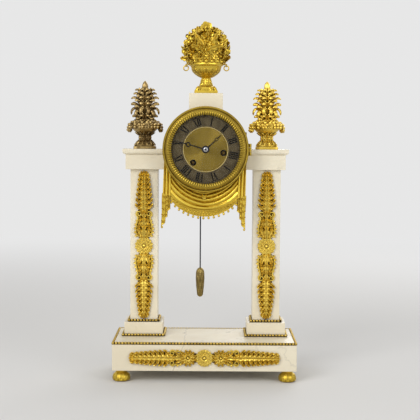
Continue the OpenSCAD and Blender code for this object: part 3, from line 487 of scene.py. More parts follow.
class Sketch(Wiring):
    """A material round its Principled shader, with the patterns that the finishes share."""

    def __init__(self, name: str) -> None:
        """Starts a material.

        Args:
            name: name of the material.
        """
        self.material = bpy.data.materials.new(name)
        self.material.use_nodes = True
        super().__init__(self.material.node_tree)
        self.shader = self.nodes["Principled BSDF"]

    def where(self) -> Socket:
        """Gives the place on the piece, in metres."""
        return self.node("ShaderNodeTexCoord", {}, "Object")

    def noise(self, scale: float, detail: float = 3.0, rough: float = 0.5, warp: float = 0.0,
              at: object = None) -> Socket:
        """Gives a noise of that many cells a metre."""
        return self.node("ShaderNodeTexNoise", {
            "Vector": at or self.where(), "Scale": scale, "Detail": detail, "Roughness": rough,
            "Distortion": warp}, "Fac")

    def span(self, value: object, low: float, high: float, start: float = 0.0, end: float = 1.0) -> Socket:
        """Eases a value from one range to another."""
        return self.node("ShaderNodeMapRange", {
            "Value": value, "From Min": low, "From Max": high, "To Min": start, "To Max": end},
            interpolation_type="SMOOTHSTEP")

    def blend(self, share: object, a: object, b: object) -> Socket:
        """Blends two colours by a share."""
        return self.node("ShaderNodeMix", {0: share, 6: a, 7: b}, 2, data_type="RGBA")

    def bump(self, height: object, strength: float, depth: float) -> Socket:
        """Gives a normal for a height, of that depth in metres."""
        return self.node("ShaderNodeBump", {"Strength": strength, "Distance": depth, "Height": height})

    def finish(self, **values: object) -> Material:
        """Sets the shader's inputs.

        Args:
            values: constants or sockets, by the inputs' names with underscores.

        Returns:
            The material.
        """
        for label, value in values.items():
            self.feed(self.shader.inputs[label.replace("_", " ")], value)
        return self.material


@dataclass(frozen=True)
class Marble:
    """Polished white marble with soft clouds, thin veins and, on the plinth, an old crack."""

    name: str
    pale: Colour = (0.84, 0.77, 0.60)
    cloud: Colour = (0.77, 0.69, 0.52)
    vein: Colour = (0.44, 0.40, 0.32)
    cracked: bool = False
    crack_slope: float = -0.42
    crack_start: float = 0.0507
    crack_wander: float = 0.010

    def material(self) -> Material:
        """Builds the marble's nodes.

        Returns:
            The material.
        """
        s = Sketch(self.name)
        colour = s.blend(s.span(s.noise(9.0, 5.0, 0.55, 0.6), 0.34, 0.62), self.cloud, self.pale)
        line = s.maths("ABSOLUTE", s.maths("SUBTRACT", s.noise(6.5, 7.0, 0.55, 0.9), 0.5))
        shown = s.span(s.noise(13.0, 2.0), 0.45, 0.75)
        veins = s.maths("MULTIPLY", s.span(line, 0.0, 0.016, 1.0, 0.0), shown)
        colour = s.blend(s.maths("MULTIPLY", veins, 0.35), colour, self.vein)
        colour = s.blend(s.span(s.noise(160.0, 4.0, 0.6), 0.55, 0.8, 0.0, 0.22), colour, self.cloud)
        if self.cracked:
            place = s.nodes.new("ShaderNodeSeparateXYZ")
            s.feed(place.inputs[0], s.where())
            slope = s.maths("MULTIPLY_ADD", place.outputs["Z"], self.crack_slope, self.crack_start)
            wander = s.maths("MULTIPLY_ADD", s.noise(70.0, 3.0), self.crack_wander, -self.crack_wander / 2)
            off = s.maths("ADD", s.maths("ADD", place.outputs["X"], slope), wander)
            mark = s.span(s.maths("ABSOLUTE", off), 0.0002, 0.0011, 0.62, 0.0)
            colour = s.blend(mark, colour, self.vein)
        grain = s.noise(700.0, 3.0)
        return s.finish(Base_Color=colour, Roughness=s.span(s.noise(45.0, 4.0), 0.3, 0.7, 0.27, 0.42),
                        Normal=s.bump(grain, 0.06, 0.0002), Specular_IOR_Level=0.45,
                        Subsurface_Weight=0.06, Subsurface_Radius=(0.006, 0.005, 0.004))


@dataclass(frozen=True)
class GiltBronze:
    """Chased and gilt bronze: bright on the raised work, brown in the hollows, partly from patina and partly
    from painted shade.
    """

    name: str
    bright: Colour = (0.90, 0.67, 0.13)
    warm: Colour = (0.80, 0.56, 0.085)
    deep: Colour = (0.17, 0.092, 0.013)
    # Strength of the marked hollows' darkening (patina and painted shade) and of the occlusion darkening
    # (painted shade).
    hollow_patina_and_shade: float = 0.72
    shaded: float = 0.6
    worn: float = 0.0
    smooth: float = 0.30
    grain: float = 0.35

    def material(self) -> Material:
        """Builds the gilding's nodes.

        Returns:
            The material.
        """
        s = Sketch(self.name)
        recess = s.node("ShaderNodeAttribute", {}, "Fac", attribute_name="recess")
        # Ambient occlusion darkens close corners and the gaps between parts: painted shade.
        opening = s.node("ShaderNodeAmbientOcclusion", {"Distance": 0.003}, "AO", samples=6)
        closed = s.span(opening, 0.25, 0.95, self.shaded, 0.0)
        # The hollows' mask brings patina and painted shade, the occlusion brings painted shade, and the noise
        # patches below add wear.
        patina_wear_and_shade = s.maths("MAXIMUM", s.maths("MULTIPLY", recess, self.hollow_patina_and_shade), closed)
        patch = s.noise(140.0, 4.0, 0.6)
        patina_wear_and_shade = s.maths("ADD", patina_wear_and_shade, s.span(patch, 0.42, 0.72, 0.0, 0.16 + self.worn))
        patina_wear_and_shade = s.node("ShaderNodeClamp", {"Value": patina_wear_and_shade})
        gold = s.blend(s.span(s.noise(38.0, 3.0), 0.3, 0.7), self.warm, self.bright)
        colour = s.blend(patina_wear_and_shade, gold, self.deep)
        rough = s.maths("ADD", s.span(patina_wear_and_shade, 0.0, 1.0, self.smooth, 0.55), s.span(patch, 0.3, 0.7, 0.0, 0.1))
        height = s.noise(1300.0, 3.0, 0.6)
        return s.finish(Base_Color=colour, Metallic=1.0, Roughness=rough,
                        Normal=s.bump(height, self.grain, 0.00025))


@dataclass(frozen=True)
class Metal:
    """A plain worked metal with fine brushing and slight tarnish."""

    name: str
    colour: Colour
    tarnish: Colour
    smooth: float = 0.3
    metallic: float = 1.0
    brushed: float = 0.12
    gloss: float = 0.5

    def material(self) -> Material:
        """Builds the metal's nodes.

        Returns:
            The material.
        """
        s = Sketch(self.name)
        patch = s.noise(120.0, 5.0, 0.6)
        stretch = s.node("ShaderNodeMapping", {"Vector": s.where(), "Scale": (400.0, 400.0, 3000.0)})
        lines = s.noise(1.0, 3.0, at=stretch)
        colour = s.blend(s.span(patch, 0.4, 0.75), self.colour, self.tarnish)
        rough = s.span(patch, 0.3, 0.75, self.smooth, self.smooth + 0.18)
        return s.finish(Base_Color=colour, Metallic=self.metallic, Roughness=rough,
                        Specular_IOR_Level=self.gloss, Normal=s.bump(lines, self.brushed, 0.0001))


@dataclass(frozen=True)
class TurnedGilt:
    """Gilt dial centre, finished in fine circles round the hands."""

    name: str
    centre: Triple
    bright: Colour = (0.285, 0.198, 0.037)
    worn: Colour = (0.225, 0.155, 0.028)
    fineness: float = 1900.0

    def material(self) -> Material:
        """Builds the turned finish.

        Returns:
            The material.
        """
        s = Sketch(self.name)
        arm = s.node("ShaderNodeVectorMath", {0: s.where(), 1: self.centre}, operation="SUBTRACT")
        round_it = s.node("ShaderNodeVectorMath", {0: arm, 1: (0.0, 1.0, 0.0)}, operation="CROSS_PRODUCT")
        across = s.node("ShaderNodeCombineXYZ", {0: s.maths("MULTIPLY", s.length(arm), self.fineness)})
        circles = s.noise(1.0, 2.0, at=across)
        patch = s.noise(90.0, 5.0, 0.65)
        colour = s.blend(s.span(patch, 0.38, 0.72), self.bright, self.worn)
        return s.finish(Base_Color=colour, Metallic=1.0, Roughness=s.span(patch, 0.3, 0.7, 0.26, 0.38),
                        Anisotropic=0.85, Tangent=round_it, Normal=s.bump(circles, 0.3, 0.0002))


@dataclass(frozen=True)
class Glass:
    """Clear dial glass that lets the dial show through."""

    name: str
    share: float = 0.05
    dark: Colour = (0.02, 0.026, 0.024)
    pale: Colour = (0.04, 0.042, 0.038)

    def material(self) -> Material:
        """Builds the glass.

        Returns:
            The material.
        """
        s = Sketch(self.name)
        tint = s.blend(s.noise(30.0), self.dark, self.pale)
        return s.finish(Base_Color=tint, Roughness=0.03, IOR=1.5, Alpha=self.share,
                        Normal=s.bump(s.noise(25.0), 0.05, 0.0003))


@dataclass(frozen=True)
class Silk:
    """Twisted silk thread."""

    name: str
    dark: Colour = (0.16, 0.12, 0.08)
    pale: Colour = (0.30, 0.24, 0.16)

    def material(self) -> Material:
        """Builds the thread's twist.

        Returns:
            The material.
        """
        s = Sketch(self.name)
        twist = s.node("ShaderNodeTexWave", {"Vector": s.where(), "Scale": 900.0, "Distortion": 1.0}, "Fac",
                       bands_direction="DIAGONAL")
        colour = s.blend(twist, self.dark, self.pale)
        return s.finish(Base_Color=colour, Roughness=0.65, Sheen_Weight=0.3,
                        Normal=s.bump(twist, 0.5, 0.0002))


@dataclass(frozen=True)
class Floor:
    """Plain pale studio floor."""

    name: str
    backdrop: Colour
    colour: Colour = (0.74, 0.735, 0.725)
    fade: tuple[float, float] = (0.55, 2.2)

    def material(self) -> Material:
        """Builds the floor's faint texture and its fade into the backdrop.

        Returns:
            The material.
        """
        s = Sketch(self.name)
        colour = s.blend(s.noise(2.0), self.colour, tuple(c * 0.985 for c in self.colour))
        s.finish(Base_Color=colour, Roughness=0.85, Specular_IOR_Level=0.2)
        share = s.maths("MULTIPLY", s.span(s.length(s.where()), *self.fade), s.seen())
        glow = s.node("ShaderNodeEmission", {"Color": self.backdrop})
        mixed = s.node("ShaderNodeMixShader", {0: share, 1: s.shader.outputs[0], 2: glow})
        s.feed(s.nodes["Material Output"].inputs["Surface"], mixed)
        return s.material


@dataclass
class Finishes:
    """Every finish of the clock, built once."""

    marble: Material
    plinth: Material
    gilt: Material
    soft_gilt: Material
    bezel: Material
    bright: Material
    bob: Material
    heart: Material
    antique: Material
    trim: Material
    dial: Material
    silvered: Material
    ink: Material
    brass: Material
    steel: Material
    blued: Material
    bell: Material
    silk: Material
    glass: Material

    @classmethod
    def build(cls, dial_centre: Vector) -> "Finishes":
        """Builds the set.

        Args:
            dial_centre: point that the dial's finish turns round, in metres.

        Returns:
            The finishes.
        """
        looks = {
            "marble": Marble("white_marble"),
            "plinth": Marble("white_marble_plinth", cracked=True),
            "gilt": GiltBronze("gilt_bronze"),
            "soft_gilt": GiltBronze("gilt_bronze_smooth", (0.76, 0.55, 0.075), (0.66, 0.46, 0.055),
                                    shaded=0.5, smooth=0.28, grain=0.15),
            # A darker copy of the gilding for the bezel, the drum and the back door: painted shade for the
            # dark reflections in their smooth bands.
            "bezel": GiltBronze("gilt_bronze_bezel", (0.44, 0.305, 0.042), (0.335, 0.226, 0.03),
                                (0.10, 0.055, 0.01), smooth=0.24, grain=0.1),
            "bright": GiltBronze("gilt_bronze_polished", (0.95, 0.80, 0.38), (0.86, 0.68, 0.26),
                                 shaded=0.2, smooth=0.18, grain=0.05),
            "bob": GiltBronze("gilt_bronze_bob", (0.36, 0.27, 0.09), (0.25, 0.18, 0.06), (0.05, 0.03, 0.01),
                              smooth=0.34),
            "antique": GiltBronze("gilt_bronze_worn", (0.58, 0.42, 0.17), (0.26, 0.175, 0.07),
                                  (0.045, 0.024, 0.01), worn=0.34, smooth=0.28),
            # The bead trim darkens its hollows and close gaps more strongly: painted shade between the beads.
            "trim": GiltBronze("gilt_bronze_trim", (0.56, 0.39, 0.09), (0.38, 0.25, 0.05),
                               (0.035, 0.02, 0.004), hollow_patina_and_shade=0.95, shaded=0.85),
            # A near-black gilding for the dark ground behind the mounts, the bouquet's heart and the winding
            # arbors: painted shade.
            "heart": GiltBronze("gilt_bronze_shadow", (0.19, 0.115, 0.03), (0.12, 0.07, 0.018),
                                (0.03, 0.018, 0.006), smooth=0.5),
            "dial": TurnedGilt("gilt_dial_centre", tuple(dial_centre)),
            "silvered": Metal("tarnished_silver_ring", (0.120, 0.094, 0.052), (0.066, 0.051, 0.029), 0.42),
            "ink": Metal("black_wax_numerals", (0.004, 0.0035, 0.003), (0.009, 0.008, 0.007), 0.55,
                         metallic=0.0, gloss=0.1),
            "brass": Metal("movement_brass", (0.70, 0.47, 0.15), (0.50, 0.31, 0.09), 0.27),
            "steel": Metal("bright_steel", (0.56, 0.57, 0.58), (0.40, 0.40, 0.40), 0.22),
            "blued": Metal("dark_blued_steel", (0.020, 0.021, 0.028), (0.012, 0.011, 0.012), 0.3),
            "bell": Metal("bell_metal", (0.72, 0.58, 0.34), (0.54, 0.40, 0.20), 0.2),
            "silk": Silk("silk_thread"),
            "glass": Glass("dial_glass_clear"),
        }
        return cls(**{name: look.material() for name, look in looks.items()})


class Tree(Wiring):
    """A geometry node tree with named inputs, built node by node."""

    def __init__(self, name: str) -> None:
        """Starts a tree that gives out geometry.

        Args:
            name: name of the tree.
        """
        self.group = bpy.data.node_groups.new(name, "GeometryNodeTree")
        super().__init__(self.group)
        self.group.interface.new_socket("Geometry", in_out="OUTPUT", socket_type="NodeSocketGeometry")
        self.source = self.nodes.new("NodeGroupInput")
        self.result = self.nodes.new("NodeGroupOutput")

    def given(self, name: str, kind: str) -> Socket:
        """Adds a named input of that kind and gives its socket inside the tree."""
        self.group.interface.new_socket(name, in_out="INPUT", socket_type="NodeSocket" + kind)
        return self.source.outputs[name]

    def close(self, parts: list[Socket]) -> "Tree":
        """Realizes and joins the parts, sets the finish and ends the tree.

        Args:
            parts: the geometry to join.

        Returns:
            The tree itself.
        """
        finish = self.given("Finish", "Material")
        joined = self.node("GeometryNodeJoinGeometry", {0: parts})
        solid = self.node("GeometryNodeRealizeInstances", {0: joined})
        self.feed(self.result.inputs[0],
                  self.node("GeometryNodeSetMaterial", {"Geometry": solid, "Material": finish}))
        return self

    def run(self, piece: bpy.types.Object, values: dict[str, object]) -> None:
        """Runs the tree on a piece and leaves it a plain mesh.

        Args:
            piece: the object, already in the scene.
            values: the tree's inputs by name.
        """
        modifier = piece.modifiers.new("tree", "NODES")
        modifier.node_group = self.group
        for item in self.group.interface.items_tree:
            if item.item_type == "SOCKET" and item.in_out == "INPUT" and item.name in values:
                modifier[item.identifier] = values[item.name]
        graph = bpy.context.evaluated_depsgraph_get()
        solid = bpy.data.meshes.new_from_object(piece.evaluated_get(graph))
        piece.modifiers.clear()
        piece.data = solid


def spray_tree() -> Tree:
    """Builds the tree that sets kit motifs at marked places, beside a plain casting.

    Returns:
        The tree.
    """
    tree = Tree("set_motifs")
    plain = tree.given("Casting", "Geometry")
    places = tree.given("Places", "Object")
    kit = tree.given("Kit", "Collection")
    points = tree.node("GeometryNodeObjectInfo", {"Object": places}, "Geometry")
    motifs = tree.node("GeometryNodeCollectionInfo",
                       {"Collection": kit, "Separate Children": True, "Reset Children": True})
    marks = (("motif", "INT"), ("turn", "FLOAT_VECTOR"), ("size", "FLOAT_VECTOR"))
    which, turn, size = (tree.node("GeometryNodeInputNamedAttribute", {"Name": label}, data_type=kind)
                         for label, kind in marks)
    placed = tree.node("GeometryNodeInstanceOnPoints", {
        "Points": points, "Instance": motifs, "Pick Instance": True, "Instance Index": which,
        "Rotation": tree.node("FunctionNodeEulerToRotation", {0: turn}), "Scale": size})
    return tree.close([plain, placed])


def bead_tree() -> Tree:
    """Builds the tree that threads beads on a wire along a path.

    Returns:
        The tree.
    """
    tree = Tree("bead_row")
    path = tree.node("GeometryNodeMeshToCurve", {0: tree.given("Path", "Geometry")})
    pitch = tree.given("Pitch", "Float")
    radius = tree.given("Radius", "Float")
    wire = tree.given("Wire", "Float")
    stops = tree.node("GeometryNodeResampleCurve", {"Curve": path, "Length": pitch}, mode="LENGTH")
    bead = tree.node("GeometryNodeMeshUVSphere", {"Segments": 9, "Rings": 6, "Radius": radius})
    beads = tree.node("GeometryNodeInstanceOnPoints", {"Points": stops, "Instance": bead})
    section = tree.node("GeometryNodeCurvePrimitiveCircle", {"Resolution": 6, "Radius": wire})
    core = tree.node("GeometryNodeCurveToMesh", {"Curve": path, "Profile Curve": section})
    # The wire is marked fully recessed, so the gilding paints it dark: painted shade in the gaps between the
    # beads.
    shaded = tree.node("GeometryNodeStoreNamedAttribute", {"Geometry": core, "Name": "recess", "Value": 1.0},
                       data_type="FLOAT", domain="POINT")
    return tree.close([tree.node("GeometryNodeSetShadeSmooth", {0: beads}), shaded])


def ring_tree() -> Tree:
    """Builds the tree that repeats one shape round a circle on the clock's front.

    Returns:
        The tree.
    """
    tree = Tree("ring_row")
    shape = tree.given("Shape", "Geometry")
    count = tree.given("Count", "Int")
    radius = tree.given("Radius", "Float")
    centre = tree.given("Centre", "Vector")
    circle = tree.node("GeometryNodeMeshCircle", {"Vertices": count, "Radius": radius})
    step = tree.maths("DIVIDE", 2 * math.pi, count)
    turn = tree.maths("MULTIPLY", tree.node("GeometryNodeInputIndex", {}), step)
    spin = tree.node("FunctionNodeEulerToRotation", {0: tree.node("ShaderNodeCombineXYZ", {2: turn})})
    row = tree.node("GeometryNodeInstanceOnPoints", {"Points": circle, "Instance": shape, "Rotation": spin})
    faced = tree.node("GeometryNodeTransform", {"Geometry": row, "Translation": centre,
                                                "Rotation": (math.radians(90), 0.0, 0.0)})
    return tree.close([faced])


class OrnamentKit:
    """The motifs of the gilt ornament: of unit size, apart from the fronds, which are in millimetres."""

    def __init__(self) -> None:
        """Models every motif into a collection that only the trees read."""
        self.collection = bpy.data.collections.new("ornament_kit")
        bpy.context.scene.collection.children.link(self.collection)
        # Each motif marks its root, its cuts and its underside as recessed, which the gilding darkens:
        # painted shade along with some patina.
        makers: dict[Motif, Callable[[], None]] = {
            Motif.LEAF: self._leaf, Motif.PETAL: self._petal, Motif.BLADE: self._blade,
            Motif.FLOWER: self._flower, Motif.BERRY: self._berry,
            Motif.SCROLL: self._scroll}
        fronds = {
            Motif.FROND_LOW: (((5, 39.5), (9, 43.8), (12.6, 46.4), (15.6, 46.8), (18.2, 45.0)),
                              7.0, 2.3, 1.0),
            Motif.FROND_ARCH: (((5, 45), (8.5, 52), (13, 57.0), (17.0, 56.8), (19.4, 52.6), (19.4, 48.2)),
                               7.6, 1.9, 0.8),
            Motif.FROND_BULB: (((4.5, 52), (8.5, 58.4), (12.5, 62.8), (16.4, 64.0), (20.2, 62.2)),
                               7.6, 2.7, 1.0),
            Motif.FROND_WIDE: (((4, 59), (8, 66.4), (12, 71.4), (16, 72.8), (20.0, 70.6)), 8.0, 1.9, 0.8),
            Motif.FROND_HIGH: (((3.5, 66), (7, 72.8), (10.5, 77.6), (13.8, 78.8), (16.8, 77.0)),
                               7.4, 1.8, 0.8),
            Motif.FROND_TOP: (((3, 73), (6, 78.8), (9, 82.8), (11.9, 83.9), (14.4, 82.6)), 6.8, 1.6, 0.8)}
        for motif in Motif:
            self.cast = Cast()
            if motif in fronds:
                self._frond(*fronds[motif])
            else:
                makers[motif]()
            name = f"kit_{motif.value:02d}"
            self.collection.objects.link(bpy.data.objects.new(name, self.cast.mesh(name, 1.0, 55.0)))

    def _leaf(self) -> None:
        """Models an acanthus leaf."""
        def shape(v: float, s: float) -> Point:
            """Gives a point of the leaf."""
            half, lean, rise, dark = leaf_form(v, s)
            return Vector((s * half, v + lean, rise + 0.25 * v * v)), dark
        self.cast.lens(shape, 12, 4)

    def _petal(self) -> None:
        """Models a round petal with a raised rim."""
        def shape(v: float, s: float) -> Point:
            """Gives a point of the petal.

            Args:
                v: share of the length, from the root.
                s: share of the width, -1 to 1.

            Returns:
                The point and its recess.
            """
            half = 0.5 * math.sin(math.pi * (0.1 + 0.86 * v ** 0.8)) ** 0.6
            rise = (0.55, 0.7, 0.0)[round(abs(s) * 2)] * (0.4 + 0.6 * math.sin(math.pi * min(v, 0.9)))
            dark = max(0.95 - 2.2 * v, 0.55 * (1 - abs(s)) if v < 0.9 else 0)
            return Vector((s * half, v, rise + 0.2 * v)), dark
        self.cast.lens(shape, 5, 4)

    def _blade(self) -> None:
        """Models a narrow pointed leaflet with a midrib."""
        def shape(v: float, s: float) -> Point:
            """Gives a point of the leaflet.

            Args:
                v: share of the length, from the root.
                s: share of the width, -1 to 1.

            Returns:
                The point and its recess.
            """
            half = 0.5 * max(math.sin(math.pi * (0.06 + 0.94 * v) ** 0.75), 0.0) ** 0.8
            rise = (1 - abs(s)) * (0.35 + 0.65 * math.sin(math.pi * v)) + 0.3 * v * v
            return Vector((s * half, v, rise)), max(0.9 - 2.5 * v, 0.4 * abs(s))
        self.cast.lens(shape, 6, 2)

    def _flower(self) -> None:
        """Models an open flower of five petals round a button."""
        lip = 0.34
        profile = [(0.44, 0.0, 0.8), (0.5, lip, 0.0), (0.19, 0.24, 0.9), (0.12, 0.54, 0.0)]

        def petals(angle: float, height: float) -> float:
            """Draws the outer rows in between the petals."""
            return 0.72 + 0.28 * abs(math.sin(2.5 * angle)) ** 0.6 if height in (0.0, lip) else 1.0
        self.cast.lathe(profile, 20, ripple=petals)

    def _berry(self) -> None:
        """Models a slightly pointed berry."""
        # The lowest rows are marked recessed: painted shade under the berry.
        rows = [(0.5 * math.cos(a), 0.5 * math.sin(a) + (0.06 if k == 6 else 0.0), 0.55 if k < 2 else 0.0)
                for k, a in ((k, math.pi * (k - 3) / 6.2) for k in range(7))]
        self.cast.lathe(rows, 9)

    def _scroll(self) -> None:
        """Models a volute that coils round an eye marked fully recessed, so that its shade is painted dark.
        """
        path, radii = [], []
        for k in range(20):
            t = k / 19
            a = math.radians(-90 + 560 * t)
            r = lerp(0.46, 0.13, t ** 0.8)
            path.append(Vector((-r * math.cos(a), r * math.sin(a), 0.3 + 0.3 * t)))
            radii.append(lerp(0.11, 0.075, t))
        self.cast.sweep(path, radii, UP, 5, 2.2)
        # The eye is fully recessed: painted shade inside the coil.
        self.cast.lathe([(0.34, 0.0, 1.0), (0.34, 0.14, 1.0), (0.01, 0.16, 1.0)], 10)

    def _frond(self, path: Sequence[Row], wide: float, thick: float, blunt: float) -> None:
        """Models a fleshy frond with cut edges.

        Args:
            path: reach and height along the middle, in millimetres.
            wide: full width.
            thick: half-thickness where it is fattest.
            blunt: how full the tip is, 0 to 1.
        """
        rows, sides = 13, 10
        grid: list[list[Point]] = []
        for r in range(rows + 1):
            v = r / rows
            here = along(path, v)
            t = (along(path, min(v + 0.03, 1.0)) - along(path, max(v - 0.03, 0.0))).normalized()
            t_end = max(0.0, (v - 0.6) / 0.4)
            tip = max(lerp(1 - 0.85 * t_end, math.sqrt(1 - t_end * t_end), blunt), 0.06)
            swell = (0.42 + 0.58 * math.sin(math.pi * min(0.68 * v, 0.5))) * tip
            notch = 0.74 if r % 3 == 0 and v < 0.75 else 1.0
            row = []
            for k in range(sides):
                a = 2 * math.pi * k / sides
                c = math.cos(a)
                half = 0.5 * wide * swell * c * lerp(1.0, notch, abs(c))
                rise = thick * swell * math.sin(a) - 0.2 * wide * swell * c * c
                place = Vector((half, here[1] + t[0] * rise, here[0] - t[1] * rise))
                # The notches are marked recessed: painted shade in the cuts.
                row.append((place, 0.6 if notch < 1 else 0.0))
            grid.append(row)
        self.cast.tube(grid[::-1])


@dataclass
class Foundry:
    """Turns castings and places into finished pieces."""

    finishes: Finishes
    kit: OrnamentKit = field(default_factory=OrnamentKit)
    spray: Tree = field(default_factory=spray_tree)
    beads: Tree = field(default_factory=bead_tree)
    rings: Tree = field(default_factory=ring_tree)

    def piece(self, name: str, mesh: Mesh, finish: Material, slot: str, body: str = "case",
              stands_for: Sequence[str] = (), tree: Tree | None = None,
              values: dict[str, object] | None = None) -> None:
        """Puts a piece in the scene and gives it to a body.

        Args:
            name: name of the piece.
            mesh: its mesh, in place.
            finish: its material.
            slot: the record's material slot; not used.
            body: the body it rides on.
            stands_for: nodes that it replaces.
            tree: a tree to run on the mesh first.
            values: the tree's inputs by name.
        """
        made = bpy.data.objects.new(name, mesh)
        bpy.context.scene.collection.objects.link(made)
        if tree:
            tree.run(made, {**(values or {}), "Finish": finish})
        made.data.materials.clear()
        made.data.materials.append(finish)
        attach(made, body)
        if stands_for:
            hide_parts(*stands_for)
        LOG.info("%s: %d faces", name, len(made.data.polygons))

    def casting(self, name: str, cast: Cast, finish: Material, body: str = "case",
                stands_for: Sequence[str] = (), slot: str = "ormolu", crease: float = 40.0) -> None:
        """Casts a piece from plain shapes and kit motifs.

        Args:
            name: name of the piece.
            cast: its plain shapes and its motifs' places.
            finish: its material.
            body: the body it rides on.
            stands_for: nodes that it replaces.
            slot: the record's material slot.
            crease: degrees past which an edge of the plain shapes stays sharp.
        """
        places = cast.places(name + "_places")
        self.piece(name, cast.mesh(name, crease=crease), finish, slot, body, stands_for, self.spray,
                   {"Places": places, "Kit": self.kit.collection})
        bpy.data.objects.remove(places)

    def clear(self) -> None:
        for motif in list(self.kit.collection.objects):
            bpy.data.objects.remove(motif)
        bpy.data.collections.remove(self.kit.collection)


@dataclass
class Studio:
    """Camera, lamps and floor."""

    eye: Triple = (0.0065, -1.56, 0.335)
    pitch: float = 3.72
    roll: float = 0.35
    lens: float = 95.1
    aim: Triple = (0.0, 0.0, 0.25)
    ambient: float = 0.42
    backdrop: Colour = (0.80, 0.80, 0.80)
    floor_radius: float = 9000.0
    floor_drop: float = 0.05

    def build(self) -> None:
        """Sets up the camera, the light and the floor."""
        scene = bpy.context.scene
        scene.view_settings.view_transform = "Standard"
        camera = bpy.data.objects.new("camera", bpy.data.cameras.new("camera"))
        camera.data.lens = self.lens
        camera.data.sensor_width = 36.0
        camera.data.clip_start = 0.05
        aimed = turn_by(90 - self.pitch, "X") @ turn_by(self.roll)
        camera.matrix_world = Matrix.Translation(self.eye) @ aimed
        scene.collection.objects.link(camera)
        scene.camera = camera
        self._lamp("key_light", (-1.15, -1.75, 1.3), 1.3, 26.5)
        self._lamp("fill_light", (1.4, -1.5, 0.9), 1.3, 10.5)
        self._lamp("top_light", (0.0, 0.1, 2.1), 1.6, 3.4)
        self._lamp("back_light", (0.7, 1.8, 1.2), 1.4, 14.0)
        self._world()
        self._floor()

    def _lamp(self, name: str, place: Triple, size: float, power: float) -> None:
        """Hangs a soft lamp that looks at the middle of the clock.

        Args:
            name: name of the lamp.
            place: where it hangs, in metres.
            size: its width, in metres.
            power: watts.
        """
        lamp = bpy.data.objects.new(name, bpy.data.lights.new(name, "AREA"))
        lamp.data.shape = "SQUARE"
        lamp.data.size = size
        lamp.data.energy = power
        lamp.location = place
        view = Vector(self.aim) - Vector(place)
        lamp.rotation_euler = view.to_track_quat("-Z", "Y").to_euler()
        bpy.context.scene.collection.objects.link(lamp)

    def _world(self) -> None:
        """Makes a pale background that lights the clock only softly."""
        world = bpy.data.worlds.new("studio")
        bpy.context.scene.world = world
        world.use_nodes = True
        w = Wiring(world.node_tree)
        pale = w.nodes["Background"]
        w.feed(pale.inputs["Color"], self.backdrop)
        soft = w.node("ShaderNodeBackground", {"Color": (1.0, 0.99, 0.97), "Strength": self.ambient})
        mixed = w.node("ShaderNodeMixShader", {0: w.seen(), 1: soft, 2: pale.outputs[0]})
        w.feed(w.nodes["World Output"].inputs["Surface"], mixed)

    def _floor(self) -> None:
        """Lays a wide round floor under the feet."""
        cast = Cast()
        far, top = self.floor_radius, -self.floor_drop
        cast.lathe([(far, -2, 0), (far, top, 0), (1, top, 0)], 64)
        floor = bpy.data.objects.new("studio_floor", cast.mesh("studio_floor"))
        floor.data.materials.append(Floor("studio_floor", self.backdrop).material())
        bpy.context.scene.collection.objects.link(floor)
        floor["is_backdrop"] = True


@dataclass
class Work:
    """What every sub-assembly needs: the foundry with its finishes."""

    foundry: Foundry

    @property
    def finish(self) -> Finishes:
        """The clock's finishes."""
        return self.foundry.finishes


@dataclass
class MarbleCase(Work):
    """The marble blocks, with their arrises eased."""

    ease: float = 0.5
    long_edge: float = 9.0
    flat_angle: float = 0.5
    sharp_angle: float = 60.0
    crease: float = 18.0
    nodes: tuple[str, ...] = (
        "base_plinth", "left_column_block", "right_column_block", "left_column_shaft", "right_column_shaft",
        "left_frieze", "right_frieze", "left_cornice", "right_cornice", "vase_block")

    def build(self) -> None:
        """Copies each block, eases its edges and lets the copy stand for it."""
        for node in self.nodes:
            finish = self.finish.plinth if node == "base_plinth" else self.finish.marble
            self.foundry.piece(node + "_eased", self._eased(node), finish, "marble", stands_for=(node,))

    def _eased(self, node: str) -> Mesh:
        """Gives a copy of a block with its long sharp edges bevelled.

        Args:
            node: name of the block.

        Returns:
            The new mesh.
        """
        work = bmesh.new()
        work.from_mesh(frame["nodes"][node].data)
        bmesh.ops.remove_doubles(work, verts=work.verts, dist=1e-6)
        bmesh.ops.dissolve_limit(work, angle_limit=math.radians(self.flat_angle), verts=work.verts,
                               edges=work.edges)
        sharp = [e for e in work.edges if e.is_manifold and e.calc_length() > self.long_edge * MM
                 and e.calc_face_angle_signed(0.0) > math.radians(self.sharp_angle)]
        bmesh.ops.bevel(work, geom=sharp, offset=self.ease * MM, segments=2, profile=0.6, affect="EDGES",
                        clamp_overlap=True)
        bmesh.ops.triangulate(work, faces=[f for f in work.faces if len(f.verts) > 4])
        mesh = bpy.data.meshes.new(node + "_eased")
        work.to_mesh(mesh)
        work.free()
        mesh.shade_smooth()
        mesh.set_sharp_from_angle(angle=math.radians(self.crease))
        return mesh


